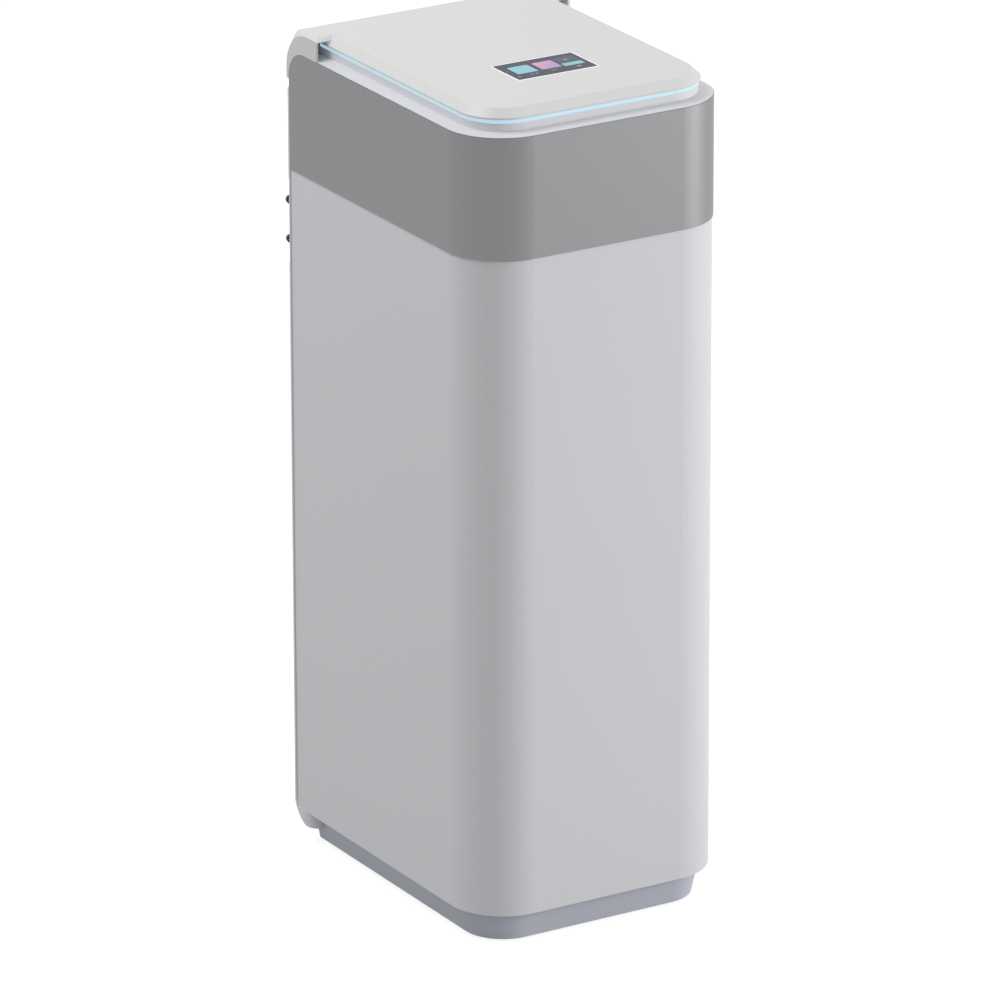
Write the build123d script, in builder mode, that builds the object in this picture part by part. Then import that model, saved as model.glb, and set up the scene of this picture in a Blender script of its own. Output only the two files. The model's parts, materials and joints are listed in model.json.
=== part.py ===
from build123d import *
import os
from math import cos, pi, radians, sin, tan

# A cabinet water softener. A plinth on rubber feet carries a tall moulded cabinet, which is also
# the brine tank. A satin band wraps its top, a white hood covers top and rear, and under the hood
# a resin tank stands at the back with its control valve, and the salt space lies in front.
# Millimetres. X is to the right seen from the front, -Y to the front and +Z up. The origin is on
# the floor in the middle of the footprint, with the rear connections counted in.

os.makedirs("parts", exist_ok=True)

# The cabinet as a whole
width = 346
depth = 440
front_corner_r = 72

# Clearances that all pieces share
seam = 0.3
seat = 0.2
run = 0.05
gap = 0.5
cut = 2

# Heights from the floor up
plinth_height = 39.2
side_height = 807.8
band_height = 147
band_low = plinth_height + side_height
band_high = band_low + band_height

# Plinth and feet
plinth_inset = 13
plinth_draft = 12.5
plinth_wall = 3
plinth_lift = 2
plinth_rear_inset = 25
foot_r = 15
foot_height = 8
foot_inset = 58
foot_boss_wall = 3
plinth_rib_wall = 2.5

# Rear cover with its rounded heel, and its recess for the connections
cover_skin = 2.2
cover_depth = 5.2
heel_level = 20
heel_r = 39
heel_length = 42
heel_cheek_r = 18
recess_depth = 3
recess_height = 103

# Cabinet moulding
body_inset = 1.3
body_wall = 4.5
body_floor = 4
neck_inset = 3.4
neck_wall = 2.4
body_heel_r = 12
band_joggle = 0.5

# Band
band_wall = 2.4
band_corner_r = 33

# Shoulder frame: rim, sloping ledge and upright neck round the top opening
rim_inset = 0.8
rim_height = 0.4
ledge_width = 15.4
ledge_rise = 2.3
neck_back = 1.8
neck_height = 8.9
neck_width = 8
frame_plate = 3
frame_skirt = 12
frame_skirt_wall = 2.5
frame_rear_gap = 44

# Light strip
strip_width = 4
strip_height = 4.7

# Hood: flat lid, two rear cheeks and the rolled rear edge
hood_skin = 2.8
lid_overhang = 2.5
lid_edge_height = 11.3
lid_edge_straight = 2
lid_bevel = 10.5
cheek_length = 70
slot_length = 22
slot_roof = 5.3
roll_r = 30
roll_end_r = 46
roll_end_drop = 3.6
roll_end_width = 8
cheek_lip_drop = 4.2
cheek_lip_run = 7
boss_r = 4
boss_inset = 34
boss_pitch = 150
strip_gap = 0.5
hood_low_gap = 6

# Lid hinge
hinge_back = 5
hinge_barrel_r = 5
hinge_drop = 42
hinge_knuckle = 50
hinge_margin = 6.9
hinge_outer = 14.5
hinge_pin_r = 2.2
hinge_pin_grip = 13
rail_wall = 3
rail_drop = 30

# Lid lining, display and bumpers
lining_wall = 2
lining_drop = 2.6
lining_inset = 23.5
lens_width = 106
lens_depth = 60.5
lens_thickness = 1.8
lens_proud = 0.2
lens_ledge = 2.4
lens_front = 142
module_drop = 8.5
module_gap = 1
bumper_width = 3
bumper_length = 14
bumper_pitch = 190

# Resin tank and its boot
tank_r = 128.5
tank_wall = 3.5
tank_length = 680
dome_height = 62
dome_r_share = 0.72
neck_r = 44
neck_bore_r = 33
neck_length = 24
boot_wall = 4
boot_height = 66
boot_gap = 1.2
boot_foot = 3
resin_share = 0.62
riser_r = 16
riser_wall = 2.2
lower_strainer_r = 30
strainer_lift = 9
lower_strainer_height = 20
upper_strainer_r = 30
upper_strainer_height = 40
strainer_wall = 2.5
resin_gap = 1.5

# Control valve
flange_r = 58
flange_height = 12
collar_r = 46
collar_height = 18
manifold_width = 124
manifold_depth = 84
manifold_height = 52
manifold_edge_r = 6
chamber_r = 43.5
chamber_height = 24
chamber_bore_r = 38.3
chamber_bore_depth = 14
port_spacing = 90
port_height = 25
socket_r = 21
socket_length = 34
socket_bore_depth = 26
nipple_r = 3.4
nipple_collar_r = 8
nipple_length = 16
drain_offset = 24
brine_offset = -14
bonnet_height = 8
bonnet_wall = 3

# Ceramic discs
fixed_disc_r = 38
fixed_disc_height = 6
moving_disc_r = 36
moving_disc_height = 7.5
disc_window_in = 14
disc_window_out = 30
disc_window_arc = 44
disc_windows = 5
disc_gap = 0.3
spindle_r = 7
spindle_key = 9

# Gear train on its plate
gear_module = 1.5
gear_face = 7
main_teeth = 40
idler_teeth = 20
pinion_teeth = 12
addendum_share = 0.82
dedendum_share = 1.2
tooth_share = 0.41
tooth_slope = 0.33
plate_thickness = 2.8
plate_wing = 46
plate_edge_r = 12
gear_lift = 1
idler_axle_r = 2
shaft_r = 2.5
main_web = 3
main_rim = 5
motor_r = 24
motor_height = 26
motor_flange = 2
motor_ear = 5
valve_cover_height = 36
valve_cover_wall = 2.2
board_thickness = 1.6
board_drop = 12
board_margin = 8
board_post_r = 3
board_blocks = 4

# Water connections
thread_r = 16.6
stub_bore_r = 12.5
stub_reach = 37
stub_chamfer = 1.5
stub_groove = 1
stub_groove_depth = 0.6
locknut_r = 23
locknut_height = 8
nut_sides = 6
hole_clearance = 0.7
turbine_r = 11.6
turbine_hub_r = 3.4
turbine_length = 9
turbine_blades = 6
turbine_blade = 1.2
turbine_axle_r = 1
carrier_height = 3
carrier_arm = 2
carrier_hub_r = 2.6
carrier_gap = 1

# Drain and overflow connections at the rear
barb_inset = 17
barb_pitch = 48.6
barb_r = 5.5
barb_reach = 28
barb_step = 0.1
barb_neck = 1
barb_ribs = 3
barb_rib_pitch = 5
barb_bore_r = 3.4
barb_flange_r = 9.5
barb_flange = 2.2
barb_thread_r = 6.8
barb_tail = 22
barb_nut_r = 10
barb_nut_height = 5
barb_below_centre = 8.3
socket_x = 112
power_r = 7.5
power_flange_r = 10
power_depth = 16
power_bore_r = 3
power_pin_r = 1

# Brine well, its float valve and the salt grid
well_r = 45
well_wall = 2.5
well_side_gap = 8.2
well_front = 73.5
well_length = 748
well_slot = 6
well_slot_length = 24
well_slots = 6
cap_r = 49
cap_height = 9
cap_wall = 2.2
cap_grip_r = 12
cap_grip_height = 6
valve_arm_drop = 20
arm_r = 5
arm_bore_r = 2.6
arm_reach = 14
safety_r = 15
safety_height = 72
safety_bore = 46
rod_r = 2.5
rod_length = 610
float_r = 22
float_height = 62
float_level = 250
float_gap = 1
grommet_r = 3.5
grommet_height = 5
pickup_r = 5
pickup_wall = 1.2
pickup_offset = 9.5
pickup_back = 4
check_r = 12
check_height = 34
check_foot = 6
grid_level = 70
grid_thickness = 5
grid_leg_r = 7
grid_slot = 8
grid_slot_length = 44
grid_slot_pitch_x = 60
grid_slot_pitch_y = 18
grid_columns = 3
grid_rows = 5
grid_back_gap = 6
grid_well_gap = 3
grid_legs_inset = 24

# Hoses inside the cabinet
hose_wall = 1.6
brine_hose_r = 5
drain_hose_r = 7.1
bend_share = 0.9

# Places that follow from the sizes above
rear_reach = max(stub_reach, barb_reach)
front_y = -(depth + rear_reach) / 2
back_y = front_y + depth
frame_base = band_high + seat
ledge_low = frame_base + rim_height
ledge_high = ledge_low + ledge_rise
ledge_inset = rim_inset + ledge_width
ring_inset = ledge_inset + neck_back
neck_top = ledge_high + neck_height
strip_low = neck_top + seat
strip_high = strip_low + strip_height
lid_inset = ring_inset - lid_overhang
lid_low = strip_high + strip_gap
lid_top = lid_low + lid_edge_height
cheek_front = back_y - cheek_length
slot_end = cheek_front + slot_length
band_back = back_y - cover_depth
band_corner_y = band_back - band_corner_r
band_corner_z = band_high - band_corner_r
hinge_y = back_y - hinge_back
hinge_z = band_high - hinge_drop
hood_low = hinge_z + hood_low_gap
cover_top = hinge_z - hinge_barrel_r - gap
body_low = plinth_height
body_back = band_back - seam
body_top = frame_base - frame_plate - seat
inside_x = width / 2 - body_inset - body_wall
inside_front = front_y + body_inset + body_wall
inside_back = body_back - body_wall
floor_z = body_low + body_floor
boot_r = tank_r + gap + boot_wall
tank_y = inside_back - boot_r - boot_gap
tank_low = floor_z + seat + boot_foot + seam
tank_top = tank_low + tank_length
valve_low = tank_top + seat
manifold_low = valve_low + flange_height + collar_height
manifold_top = manifold_low + manifold_height
port_z = manifold_low + port_height
chamber_top = manifold_top + chamber_height
disc_floor = chamber_top - chamber_bore_depth
moving_low = disc_floor + seat + fixed_disc_height + disc_gap
bonnet_low = chamber_top + seat
bonnet_top = bonnet_low + bonnet_height
plate_low = bonnet_top + seat
plate_top = plate_low + plate_thickness
gear_low = plate_top + gear_lift
gear_top = gear_low + gear_face
main_r = gear_module * main_teeth / 2
idler_r = gear_module * idler_teeth / 2
pinion_r = gear_module * pinion_teeth / 2
idler_x = main_r + idler_r
motor_x = idler_x + idler_r + pinion_r
recess_mid = port_z
recess_low = recess_mid - recess_height / 2
recess_high = recess_mid + recess_height / 2
recess_y = back_y - recess_depth
barb_x = -width / 2 + barb_inset
barb_mid = recess_mid - barb_below_centre
drain_z = barb_mid + barb_pitch / 2
overflow_z = barb_mid - barb_pitch / 2
well_x = -(inside_x - well_side_gap - well_r)
well_y = front_y + well_front
well_low = floor_z + seat
well_top = well_low + well_length
arm_z = well_top - valve_arm_drop
brine_port_y = tank_y + brine_offset
drain_port_y = tank_y + drain_offset
manifold_x = manifold_width / 2
nipple_x = -manifold_x - nipple_length
lens_y = front_y + lens_front
grid_high = floor_z + seat + grid_level


def plan(inset, back, level, rear_r=0.0):
    """Plan outline of the cabinet drawn in by an inset at the front and the sides."""
    with BuildSketch(Plane.XY.offset(level)) as outline:
        with Locations((0, back)):
            Rectangle(width - 2 * inset, back - front_y - inset, align=(Align.CENTER, Align.MAX))
        fillet(outline.vertices().group_by(Axis.Y)[0], front_corner_r - inset)
        if rear_r > 0:
            fillet(outline.vertices().group_by(Axis.Y)[-1], rear_r)
    return outline.sketch


def slab(x, y, z, mode=Mode.ADD):
    """A box between a low and a high value on each axis."""
    with Locations(((x[0] + x[1]) / 2, (y[0] + y[1]) / 2, (z[0] + z[1]) / 2)):
        Box(x[1] - x[0], y[1] - y[0], z[1] - z[0], mode=mode)


def upright(x, y, low, high, radius, mode=Mode.ADD):
    """A round post from one height to another."""
    with Locations((x, y, low)):
        Cylinder(radius, high - low, align=(Align.CENTER, Align.CENTER, Align.MIN), mode=mode)


def along_y(x, z, start, end, radius, mode=Mode.ADD):
    """A round bar that runs front to back."""
    with Locations(Location((x, start, z), (-90, 0, 0))):
        Cylinder(radius, end - start, align=(Align.CENTER, Align.CENTER, Align.MIN), mode=mode)


def along_x(y, z, start, end, radius, mode=Mode.ADD):
    """A round bar that runs left to right."""
    with Locations(Location((start, y, z), (0, 90, 0))):
        Cylinder(radius, end - start, align=(Align.CENTER, Align.CENTER, Align.MIN), mode=mode)


def gear_outline(teeth, turn):
    """Spur gear outline: flanks run from root through the pitch line to a narrowed tip."""
    pitch_r = gear_module * teeth / 2
    pitch_half = tooth_share * gear_module * pi / 2
    rings = [
        (pitch_r - dedendum_share * gear_module, pitch_half + tooth_slope * gear_module),
        (pitch_r, pitch_half),
        (pitch_r + addendum_share * gear_module, pitch_half - tooth_slope * gear_module),
    ]
    corners = []
    for tooth in range(teeth):
        middle = radians(turn) + 2 * pi * tooth / teeth
        flanks = [(r, -half / r) for r, half in rings] + [(r, half / r) for r, half in reversed(rings)]
        corners += [(r * cos(middle + a), r * sin(middle + a)) for r, a in flanks]
    return corners


# Plinth: a tapered skirt, ribbed inside, with a lower tail under the heel
plinth_top = plinth_height - seam
plinth_back = back_y - heel_length - seam
plinth_slope = tan(radians(plinth_draft))
plinth_low_inset = plinth_inset + (plinth_top - plinth_lift) * plinth_slope
tail_top = heel_level - seam
tail_inset = plinth_inset + (plinth_top - tail_top) * plinth_slope
tail_back = back_y - plinth_rear_inset
foot_x = width / 2 - foot_inset
foot_front = front_y + foot_inset
foot_rear = plinth_back - plinth_wall - foot_r - foot_boss_wall
foot_places = [(x, y) for x in (-foot_x, foot_x) for y in (foot_front, foot_rear)]

with BuildPart() as plinth_base:
    loft(
        sections=[
            plan(plinth_low_inset, plinth_back, plinth_lift),
            plan(plinth_inset, plinth_back, plinth_top),
        ],
        ruled=True,
    )
    loft(
        sections=[
            plan(plinth_low_inset, tail_back, plinth_lift),
            plan(tail_inset, tail_back, tail_top),
        ],
        ruled=True,
    )
    hollow_inset = plinth_low_inset + plinth_wall
    extrude(
        plan(hollow_inset, tail_back - plinth_wall, plinth_lift - cut),
        amount=tail_top - plinth_wall - plinth_lift + cut,
        mode=Mode.SUBTRACT,
    )
    extrude(
        plan(hollow_inset, plinth_back - plinth_wall, tail_top - plinth_wall - cut),
        amount=plinth_top - tail_top + cut,
        mode=Mode.SUBTRACT,
    )
    for x, y in foot_places:
        upright(x, y, foot_height - foot_boss_wall, plinth_top - plinth_wall, foot_r + foot_boss_wall)
    for x, y in foot_places:
        upright(x, y, plinth_lift - cut, foot_height + seat, foot_r + seat, Mode.SUBTRACT)
    rib_high = (plinth_lift + foot_height, plinth_top - plinth_wall)
    rib_side = width / 2 - hollow_inset
    for y in (foot_front, foot_rear):
        slab((-foot_x + foot_r, foot_x - foot_r), (y, y + plinth_rib_wall), rib_high)
    for x in (-foot_x, foot_x):
        slab((x, x + plinth_rib_wall), (foot_front + foot_r, foot_rear - foot_r), rib_high)
plinth_base.part.label = "plinth_base"
export_step(plinth_base.part, "parts/plinth_base.step")

with BuildPart() as rubber_feet:
    for x, y in foot_places:
        upright(x, y, 0, foot_height, foot_r)
    low_rims = rubber_feet.edges().filter_by(GeomType.CIRCLE).group_by(Axis.Z)[0]
    chamfer(low_rims, plinth_lift / 2)
rubber_feet.part.label = "rubber_feet"
export_step(rubber_feet.part, "parts/rubber_feet.step")

# Cabinet moulding: an open-topped box that is also the brine tank
with BuildPart() as cabinet_body:
    extrude(plan(body_inset, body_back, body_low), amount=band_low - band_joggle - body_low)
    fillet(cabinet_body.edges().group_by(Axis.Z)[0].sort_by(Axis.Y)[-1], body_heel_r)
    extrude(plan(neck_inset, body_back, band_low - band_joggle), amount=body_top - band_low + band_joggle)
    hollow = neck_inset + neck_wall
    extrude(plan(hollow, inside_back, floor_z), amount=body_top - floor_z + cut, mode=Mode.SUBTRACT)
    with BuildSketch(Plane.YZ):
        with BuildLine():
            CenterArc((body_back - band_corner_r, body_top - band_corner_r), band_corner_r, 0, 90)
            Polyline(
                (body_back - band_corner_r, body_top),
                (body_back - band_corner_r, body_top + cut),
                (body_back + cut, body_top + cut),
                (body_back + cut, body_top - band_corner_r),
                (body_back, body_top - band_corner_r),
            )
        make_face()
    extrude(amount=width, both=True, mode=Mode.SUBTRACT)
    rail_low = cover_top - rail_drop
    slab((-inside_x, inside_x), (inside_back - cut, body_back + cut), (rail_low, body_top + cut),
         Mode.SUBTRACT)
    for side in (-1, 1):
        along_y(side * port_spacing / 2, port_z, inside_back - cut, body_back + cut,
                thread_r + hole_clearance, Mode.SUBTRACT)
    for z in (drain_z, overflow_z):
        along_y(barb_x, z, inside_back - cut, body_back + cut, barb_thread_r + seat, Mode.SUBTRACT)
    along_y(socket_x, port_z, inside_back - cut, body_back + cut, power_r + seat, Mode.SUBTRACT)
cabinet_body.part.label = "cabinet_body"
export_step(cabinet_body.part, "parts/cabinet_body.step")

# Band: a wrap that is open at the rear, with rounded upper rear corners
with BuildPart() as top_band:
    extrude(plan(0, band_back, band_low), amount=band_height)
    extrude(plan(band_wall, band_back + cut, band_low - cut), amount=band_height + 2 * cut,
            mode=Mode.SUBTRACT)
    with BuildSketch(Plane.YZ):
        with BuildLine():
            CenterArc((band_corner_y, band_corner_z), band_corner_r, 0, 90)
            Polyline(
                (band_corner_y, band_high),
                (front_y, band_high),
                (front_y, band_low),
                (band_back, band_low),
                (band_back, band_corner_z),
            )
        make_face()
    extrude(amount=width, both=True, mode=Mode.INTERSECT)
top_band.part.label = "top_band"
export_step(top_band.part, "parts/top_band.step")

# Shoulder frame: it caps the cabinet and the band, and its neck carries the light strip
frame_back = back_y - frame_rear_gap
with BuildPart() as shoulder_frame:
    plate_inset = band_wall + seam
    extrude(plan(plate_inset, frame_back, frame_base - frame_plate), amount=frame_plate)
    extrude(plan(rim_inset, frame_back, frame_base), amount=rim_height)
    loft(
        sections=[plan(rim_inset, frame_back, ledge_low), plan(ledge_inset, frame_back, ledge_high)],
        ruled=True,
    )
    extrude(plan(ring_inset, frame_back, ledge_high), amount=neck_height)
    skirt_inset = neck_inset + neck_wall + seam
    skirt_low = frame_base - frame_skirt
    extrude(plan(skirt_inset, frame_back, skirt_low), amount=frame_skirt - frame_plate)
    extrude(
        plan(skirt_inset + frame_skirt_wall, frame_back - frame_skirt_wall, skirt_low - cut),
        amount=frame_skirt - frame_plate + cut,
        mode=Mode.SUBTRACT,
    )
    opening_inset = ring_inset + neck_width
    extrude(
        plan(opening_inset, frame_back - neck_width, skirt_low - cut),
        amount=neck_top - skirt_low + 2 * cut,
        mode=Mode.SUBTRACT,
    )
    for side in (-1, 1):
        for inset, start in ((hood_skin + seam, cheek_front - seam), (ring_inset, slot_end - seam)):
            slab(
                sorted((side * (width / 2 - inset), side * width / 2)),
                (start, frame_back + cut),
                (frame_base - seat, neck_top),
                Mode.SUBTRACT,
            )
shoulder_frame.part.label = "shoulder_frame"
export_step(shoulder_frame.part, "parts/shoulder_frame.step")

# Light strip round the left, front and right of the neck
strip_back = slot_end - seam
with BuildPart() as light_strip:
    extrude(plan(ring_inset, strip_back, strip_low), amount=strip_height)
    extrude(
        plan(ring_inset + strip_width, strip_back + cut, strip_low - cut),
        amount=strip_height + 2 * cut,
        mode=Mode.SUBTRACT,
    )
light_strip.part.label = "light_strip"
export_step(light_strip.part, "parts/light_strip.step")

# Bumpers on the neck, on which the lid's lining comes down
lining_low = lid_low - lining_drop
bumper_inset = ring_inset + strip_width + seat
bumper_mid = (front_y + cheek_front) / 2
with BuildPart() as lid_bumpers:
    for side in (-1, 1):
        outer = side * (width / 2 - bumper_inset)
        inner = outer - side * bumper_width
        for y in (bumper_mid - bumper_pitch / 2, bumper_mid + bumper_pitch / 2):
            slab(
                sorted((outer, inner)),
                (y - bumper_length / 2, y + bumper_length / 2),
                (neck_top, lining_low - seam),
            )
lid_bumpers.part.label = "lid_bumpers"
export_step(lid_bumpers.part, "parts/lid_bumpers.step")


def cover_plan(inset):
    """Plan of the rear cover and its heel, whose front corners are rounded."""
    with BuildSketch(Plane.XY.offset(heel_level)) as outline:
        with Locations((0, back_y - inset)):
            Rectangle(width - 2 * inset, heel_length - 2 * inset, align=(Align.CENTER, Align.MAX))
        fillet(outline.vertices().group_by(Axis.Y)[0], heel_cheek_r - inset)
        fillet(outline.vertices().group_by(Axis.Y)[-1], cover_depth / 2)
    return outline.sketch


def cover_side(inset, top):
    """Side view of the rear cover: an upright strip that rolls forward into the heel."""
    low = heel_level + inset
    roll_centre = heel_level + heel_r
    front = back_y - heel_length
    with BuildSketch(Plane.YZ) as outline:
        with BuildLine():
            CenterArc((back_y - heel_r, roll_centre), heel_r - inset, -90, 90)
            Polyline(
                (back_y - inset, roll_centre),
                (back_y - inset, top),
                (front, top),
                (front, low),
                (back_y - heel_r, low),
            )
        make_face()
    return outline.sketch


# Rear cover: the back skin with a shallow recess, rolled under as the heel
with BuildPart() as cover_hollow:
    extrude(cover_plan(cover_skin), amount=cover_top - heel_level - cover_skin)
    extrude(cover_side(cover_skin, cover_top - cover_skin), amount=width, both=True, mode=Mode.INTERSECT)
    slab((-width, width), (front_y, recess_y), (recess_low - cover_skin, recess_high + cover_skin),
         Mode.SUBTRACT)

with BuildPart() as cabinet_room:
    slab((-width, width), (front_y, band_back), (body_low - seam, cover_top + cut))
    fillet(cabinet_room.edges().group_by(Axis.Z)[0].sort_by(Axis.Y)[-1], body_heel_r + seam)

with BuildPart() as rear_cover:
    extrude(cover_plan(0), amount=cover_top - heel_level)
    extrude(cover_side(0, cover_top), amount=width, both=True, mode=Mode.INTERSECT)
    add(cabinet_room.part, mode=Mode.SUBTRACT)
    add(cover_hollow.part, mode=Mode.SUBTRACT)
    slab((-width, width), (recess_y, back_y + cut), (recess_low, recess_high), Mode.SUBTRACT)
    for side in (-1, 1):
        x = side * port_spacing / 2
        along_y(x, port_z, band_back - cut, back_y, thread_r + hole_clearance, Mode.SUBTRACT)
    for z in (drain_z, overflow_z):
        along_y(barb_x, z, band_back - cut, back_y, barb_thread_r + seat, Mode.SUBTRACT)
    along_y(socket_x, port_z, band_back - cut, back_y, power_r + seat, Mode.SUBTRACT)
rear_cover.part.label = "rear_cover"
export_step(rear_cover.part, "parts/rear_cover.step")


def hood_side(place, skin, low, front, roll, drop, lip_drop, lip_run):
    """Side view of the hood's rear at one X: cheek, roll and the strip that passes behind the band."""
    top = lid_top - drop - skin
    centre_y = back_y - roll
    centre_z = lid_top - drop - roll
    corner_r = band_corner_r + seam
    low_edge = band_high + seam - low
    low_end = hood_low - low
    strip_y = back_y - skin if low > 0 else band_corner_y + corner_r
    with BuildSketch(Plane.YZ.offset(place)) as outline:
        with BuildLine():
            CenterArc((centre_y, centre_z), roll - skin, 0, 90)
            lip = [(front + lip_run, top)] if lip_run > 0 else []
            Polyline((centre_y, top), *lip, (front, top - lip_drop), (front, low_edge))
            Line((front, low_edge), (band_corner_y, low_edge))
            if low > 0:
                Polyline(
                    (band_corner_y, low_edge),
                    (band_corner_y, low_end),
                    (strip_y, low_end),
                    (strip_y, centre_z),
                )
            else:
                CenterArc((band_corner_y, band_corner_z), corner_r, 0, 90)
                Polyline((strip_y, band_corner_z), (strip_y, low_end), (back_y, low_end),
                         (back_y, centre_z))
        make_face()
    return outline.sketch


# Hood: lid with a bevelled edge, cheeks and roll in one moulding, hinged at its rear lower edge
boss_front = front_y + boss_inset
boss_x = width / 2 - boss_inset - boss_r
boss_steps = int((slot_end - boss_front) / boss_pitch)
boss_rows = [boss_front + boss_inset / 2]
boss_rows += [boss_front + n * boss_pitch for n in range(1, boss_steps + 1)]
boss_places = [(x, y) for x in (-boss_x, boss_x) for y in boss_rows]
hinge_inner = inside_x - seam - hinge_margin - hinge_outer - hinge_knuckle - 2 * gap
knuckle_start = hinge_inner + gap
knuckle_end = knuckle_start + hinge_knuckle
roll_mid = (roll_r, 0, cheek_lip_drop, cheek_lip_run)
roll_end = (roll_end_r, roll_end_drop, cheek_lip_drop - roll_end_drop, cheek_lip_run)
roll_x = width / 2 - roll_end_width
lid_back = slot_end + hood_skin
bevel_low = lid_low + lid_edge_straight
with BuildPart() as hood:
    extrude(hood_side(0, 0, 0, cheek_front, *roll_mid), amount=roll_x, both=True)
    for side in (-1, 1):
        ends = [
            hood_side(side * roll_x, 0, 0, cheek_front, *roll_mid),
            hood_side(side * width / 2, 0, 0, cheek_front, *roll_end),
        ]
        loft(sections=ends, ruled=True)
    extrude(plan(lid_inset, lid_back, lid_low), amount=lid_edge_straight)
    loft(
        sections=[plan(lid_inset, lid_back, bevel_low), plan(lid_inset + lid_bevel, lid_back, lid_top)],
        ruled=True,
    )
    lid_hollow = lid_inset + hood_skin
    hollow_bend = bevel_low - hood_skin / 3
    extrude(plan(lid_hollow, lid_back + cut, lid_low - cut), amount=hollow_bend - lid_low + cut,
            mode=Mode.SUBTRACT)
    loft(
        sections=[
            plan(lid_hollow, lid_back + cut, hollow_bend),
            plan(lid_inset + lid_bevel + hood_skin / 2, lid_back + cut, lid_top - hood_skin),
        ],
        ruled=True,
        mode=Mode.SUBTRACT,
    )
    inner_mid = (roll_r, 0, 0, 0)
    inner_end = (back_y - lid_back - hood_skin, roll_end_drop, 0, 0)
    inner_x = width / 2 - hood_skin
    extrude(hood_side(0, hood_skin, cut, lid_back, *inner_mid), amount=roll_x, both=True,
            mode=Mode.SUBTRACT)
    for side in (-1, 1):
        ends = [
            hood_side(side * roll_x, hood_skin, cut, lid_back, *inner_mid),
            hood_side(side * inner_x, hood_skin, cut, lid_back, *inner_end),
        ]
        loft(sections=ends, ruled=True, mode=Mode.SUBTRACT)
        slot = sorted((side * (width / 2 - lid_inset), side * inner_x))
        slab(slot, (cheek_front - cut, slot_end), (band_high, lid_top - slot_roof), Mode.SUBTRACT)
    passage = width / 2 - lid_inset - gap
    slab((-passage, passage), (slot_end - cut, lid_back + cut), (band_high, lid_low), Mode.SUBTRACT)
    slab((-width / 2 + lid_inset, width / 2 - lid_inset), (cheek_front - cut, slot_end),
         (band_high, lid_low), Mode.SUBTRACT)
    for x, y in boss_places:
        upright(x, y, lid_low, lid_top - hood_skin, boss_r)
    for side in (-1, 1):
        start, end = sorted((side * knuckle_start, side * knuckle_end))
        along_x(hinge_y, hinge_z, start, end, hinge_barrel_r)
        slab((start, end), (hinge_y, back_y), (hinge_z, hood_low + cut))
        along_x(hinge_y, hinge_z, start - cut, end + cut, hinge_pin_r + run, Mode.SUBTRACT)
    lens_x = lens_width / 2
    lens_half = lens_depth / 2
    slab((-lens_x - seat, lens_x + seat), (lens_y - lens_half - seat, lens_y + lens_half + seat),
         (lid_top + lens_proud - lens_thickness - seat, lid_top + cut), Mode.SUBTRACT)
    slab((-lens_x + lens_ledge, lens_x - lens_ledge),
         (lens_y - lens_half + lens_ledge, lens_y + lens_half - lens_ledge),
         (lid_low, lid_top + cut), Mode.SUBTRACT)
hood.part.label = "hood"
export_step(hood.part, "parts/hood.step")

with BuildPart() as lid_lining:
    lining_back = slot_end - seam
    extrude(plan(lining_inset, lining_back, lining_low), amount=lining_wall)
    lining_rib = lid_low - seat - lining_low - lining_wall
    extrude(plan(lining_inset, lining_back, lining_low + lining_wall), amount=lining_rib)
    extrude(
        plan(lining_inset + lining_wall, lining_back - lining_wall, lining_low + lining_wall),
        amount=lining_rib + cut,
        mode=Mode.SUBTRACT,
    )
    for x, y in boss_places:
        upright(x, y, lining_low + lining_wall, lid_low - seat, boss_r)
lid_lining.part.label = "lid_lining"
export_step(lid_lining.part, "parts/lid_lining.step")

with BuildPart() as display_lens:
    lens_low = lid_top + lens_proud - lens_thickness
    slab((-lens_x, lens_x), (lens_y - lens_half, lens_y + lens_half), (lens_low, lens_low + lens_thickness))
    fillet(display_lens.edges().filter_by(Axis.Z), lens_ledge / 2)
display_lens.part.label = "display_lens"
export_step(display_lens.part, "parts/display_lens.step")

with BuildPart() as display_module:
    module_x = lens_x - lens_ledge - module_gap
    module_y = lens_half - lens_ledge - module_gap
    module_high = lens_low - seat
    module_low = module_high - module_drop
    slab((-module_x, module_x), (lens_y - module_y, lens_y + module_y), (module_low, module_high))
    slab((-module_x + lens_ledge, module_x - lens_ledge),
         (lens_y - module_y + lens_ledge, lens_y + module_y - lens_ledge),
         (module_low - cut, module_low + module_drop / 2), Mode.SUBTRACT)
display_module.part.label = "display_module"
export_step(display_module.part, "parts/display_module.step")

# Hinge rail across the back, with barrels beside the hood's knuckles
rail_front = body_back - rail_wall
rail_spans = [(-hinge_inner, hinge_inner)]
rail_spans += [(knuckle_end + gap, knuckle_end + gap + hinge_outer)]
rail_spans += [(-knuckle_end - gap - hinge_outer, -knuckle_end - gap)]
with BuildPart() as hinge_rail:
    rail_half = inside_x - seam
    slab((-rail_half, rail_half), (rail_front, body_back), (rail_low + seat, cover_top - gap))
    for start, end in rail_spans:
        slab((start, end), (rail_front, body_back), (cover_top - gap, hinge_z))
        along_x(hinge_y, hinge_z, start, end, hinge_barrel_r)
        along_x(hinge_y, hinge_z, start - cut, end + cut, hinge_pin_r, Mode.SUBTRACT)
hinge_rail.part.label = "hinge_rail"
export_step(hinge_rail.part, "parts/hinge_rail.step")

with BuildPart() as hinge_pins:
    for side in (-1, 1):
        start, end = sorted((side * (hinge_inner - hinge_pin_grip),
                             side * (knuckle_end + gap + hinge_pin_grip)))
        along_x(hinge_y, hinge_z, start, end, hinge_pin_r)
hinge_pins.part.label = "hinge_pins"
export_step(hinge_pins.part, "parts/hinge_pins.step")


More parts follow.
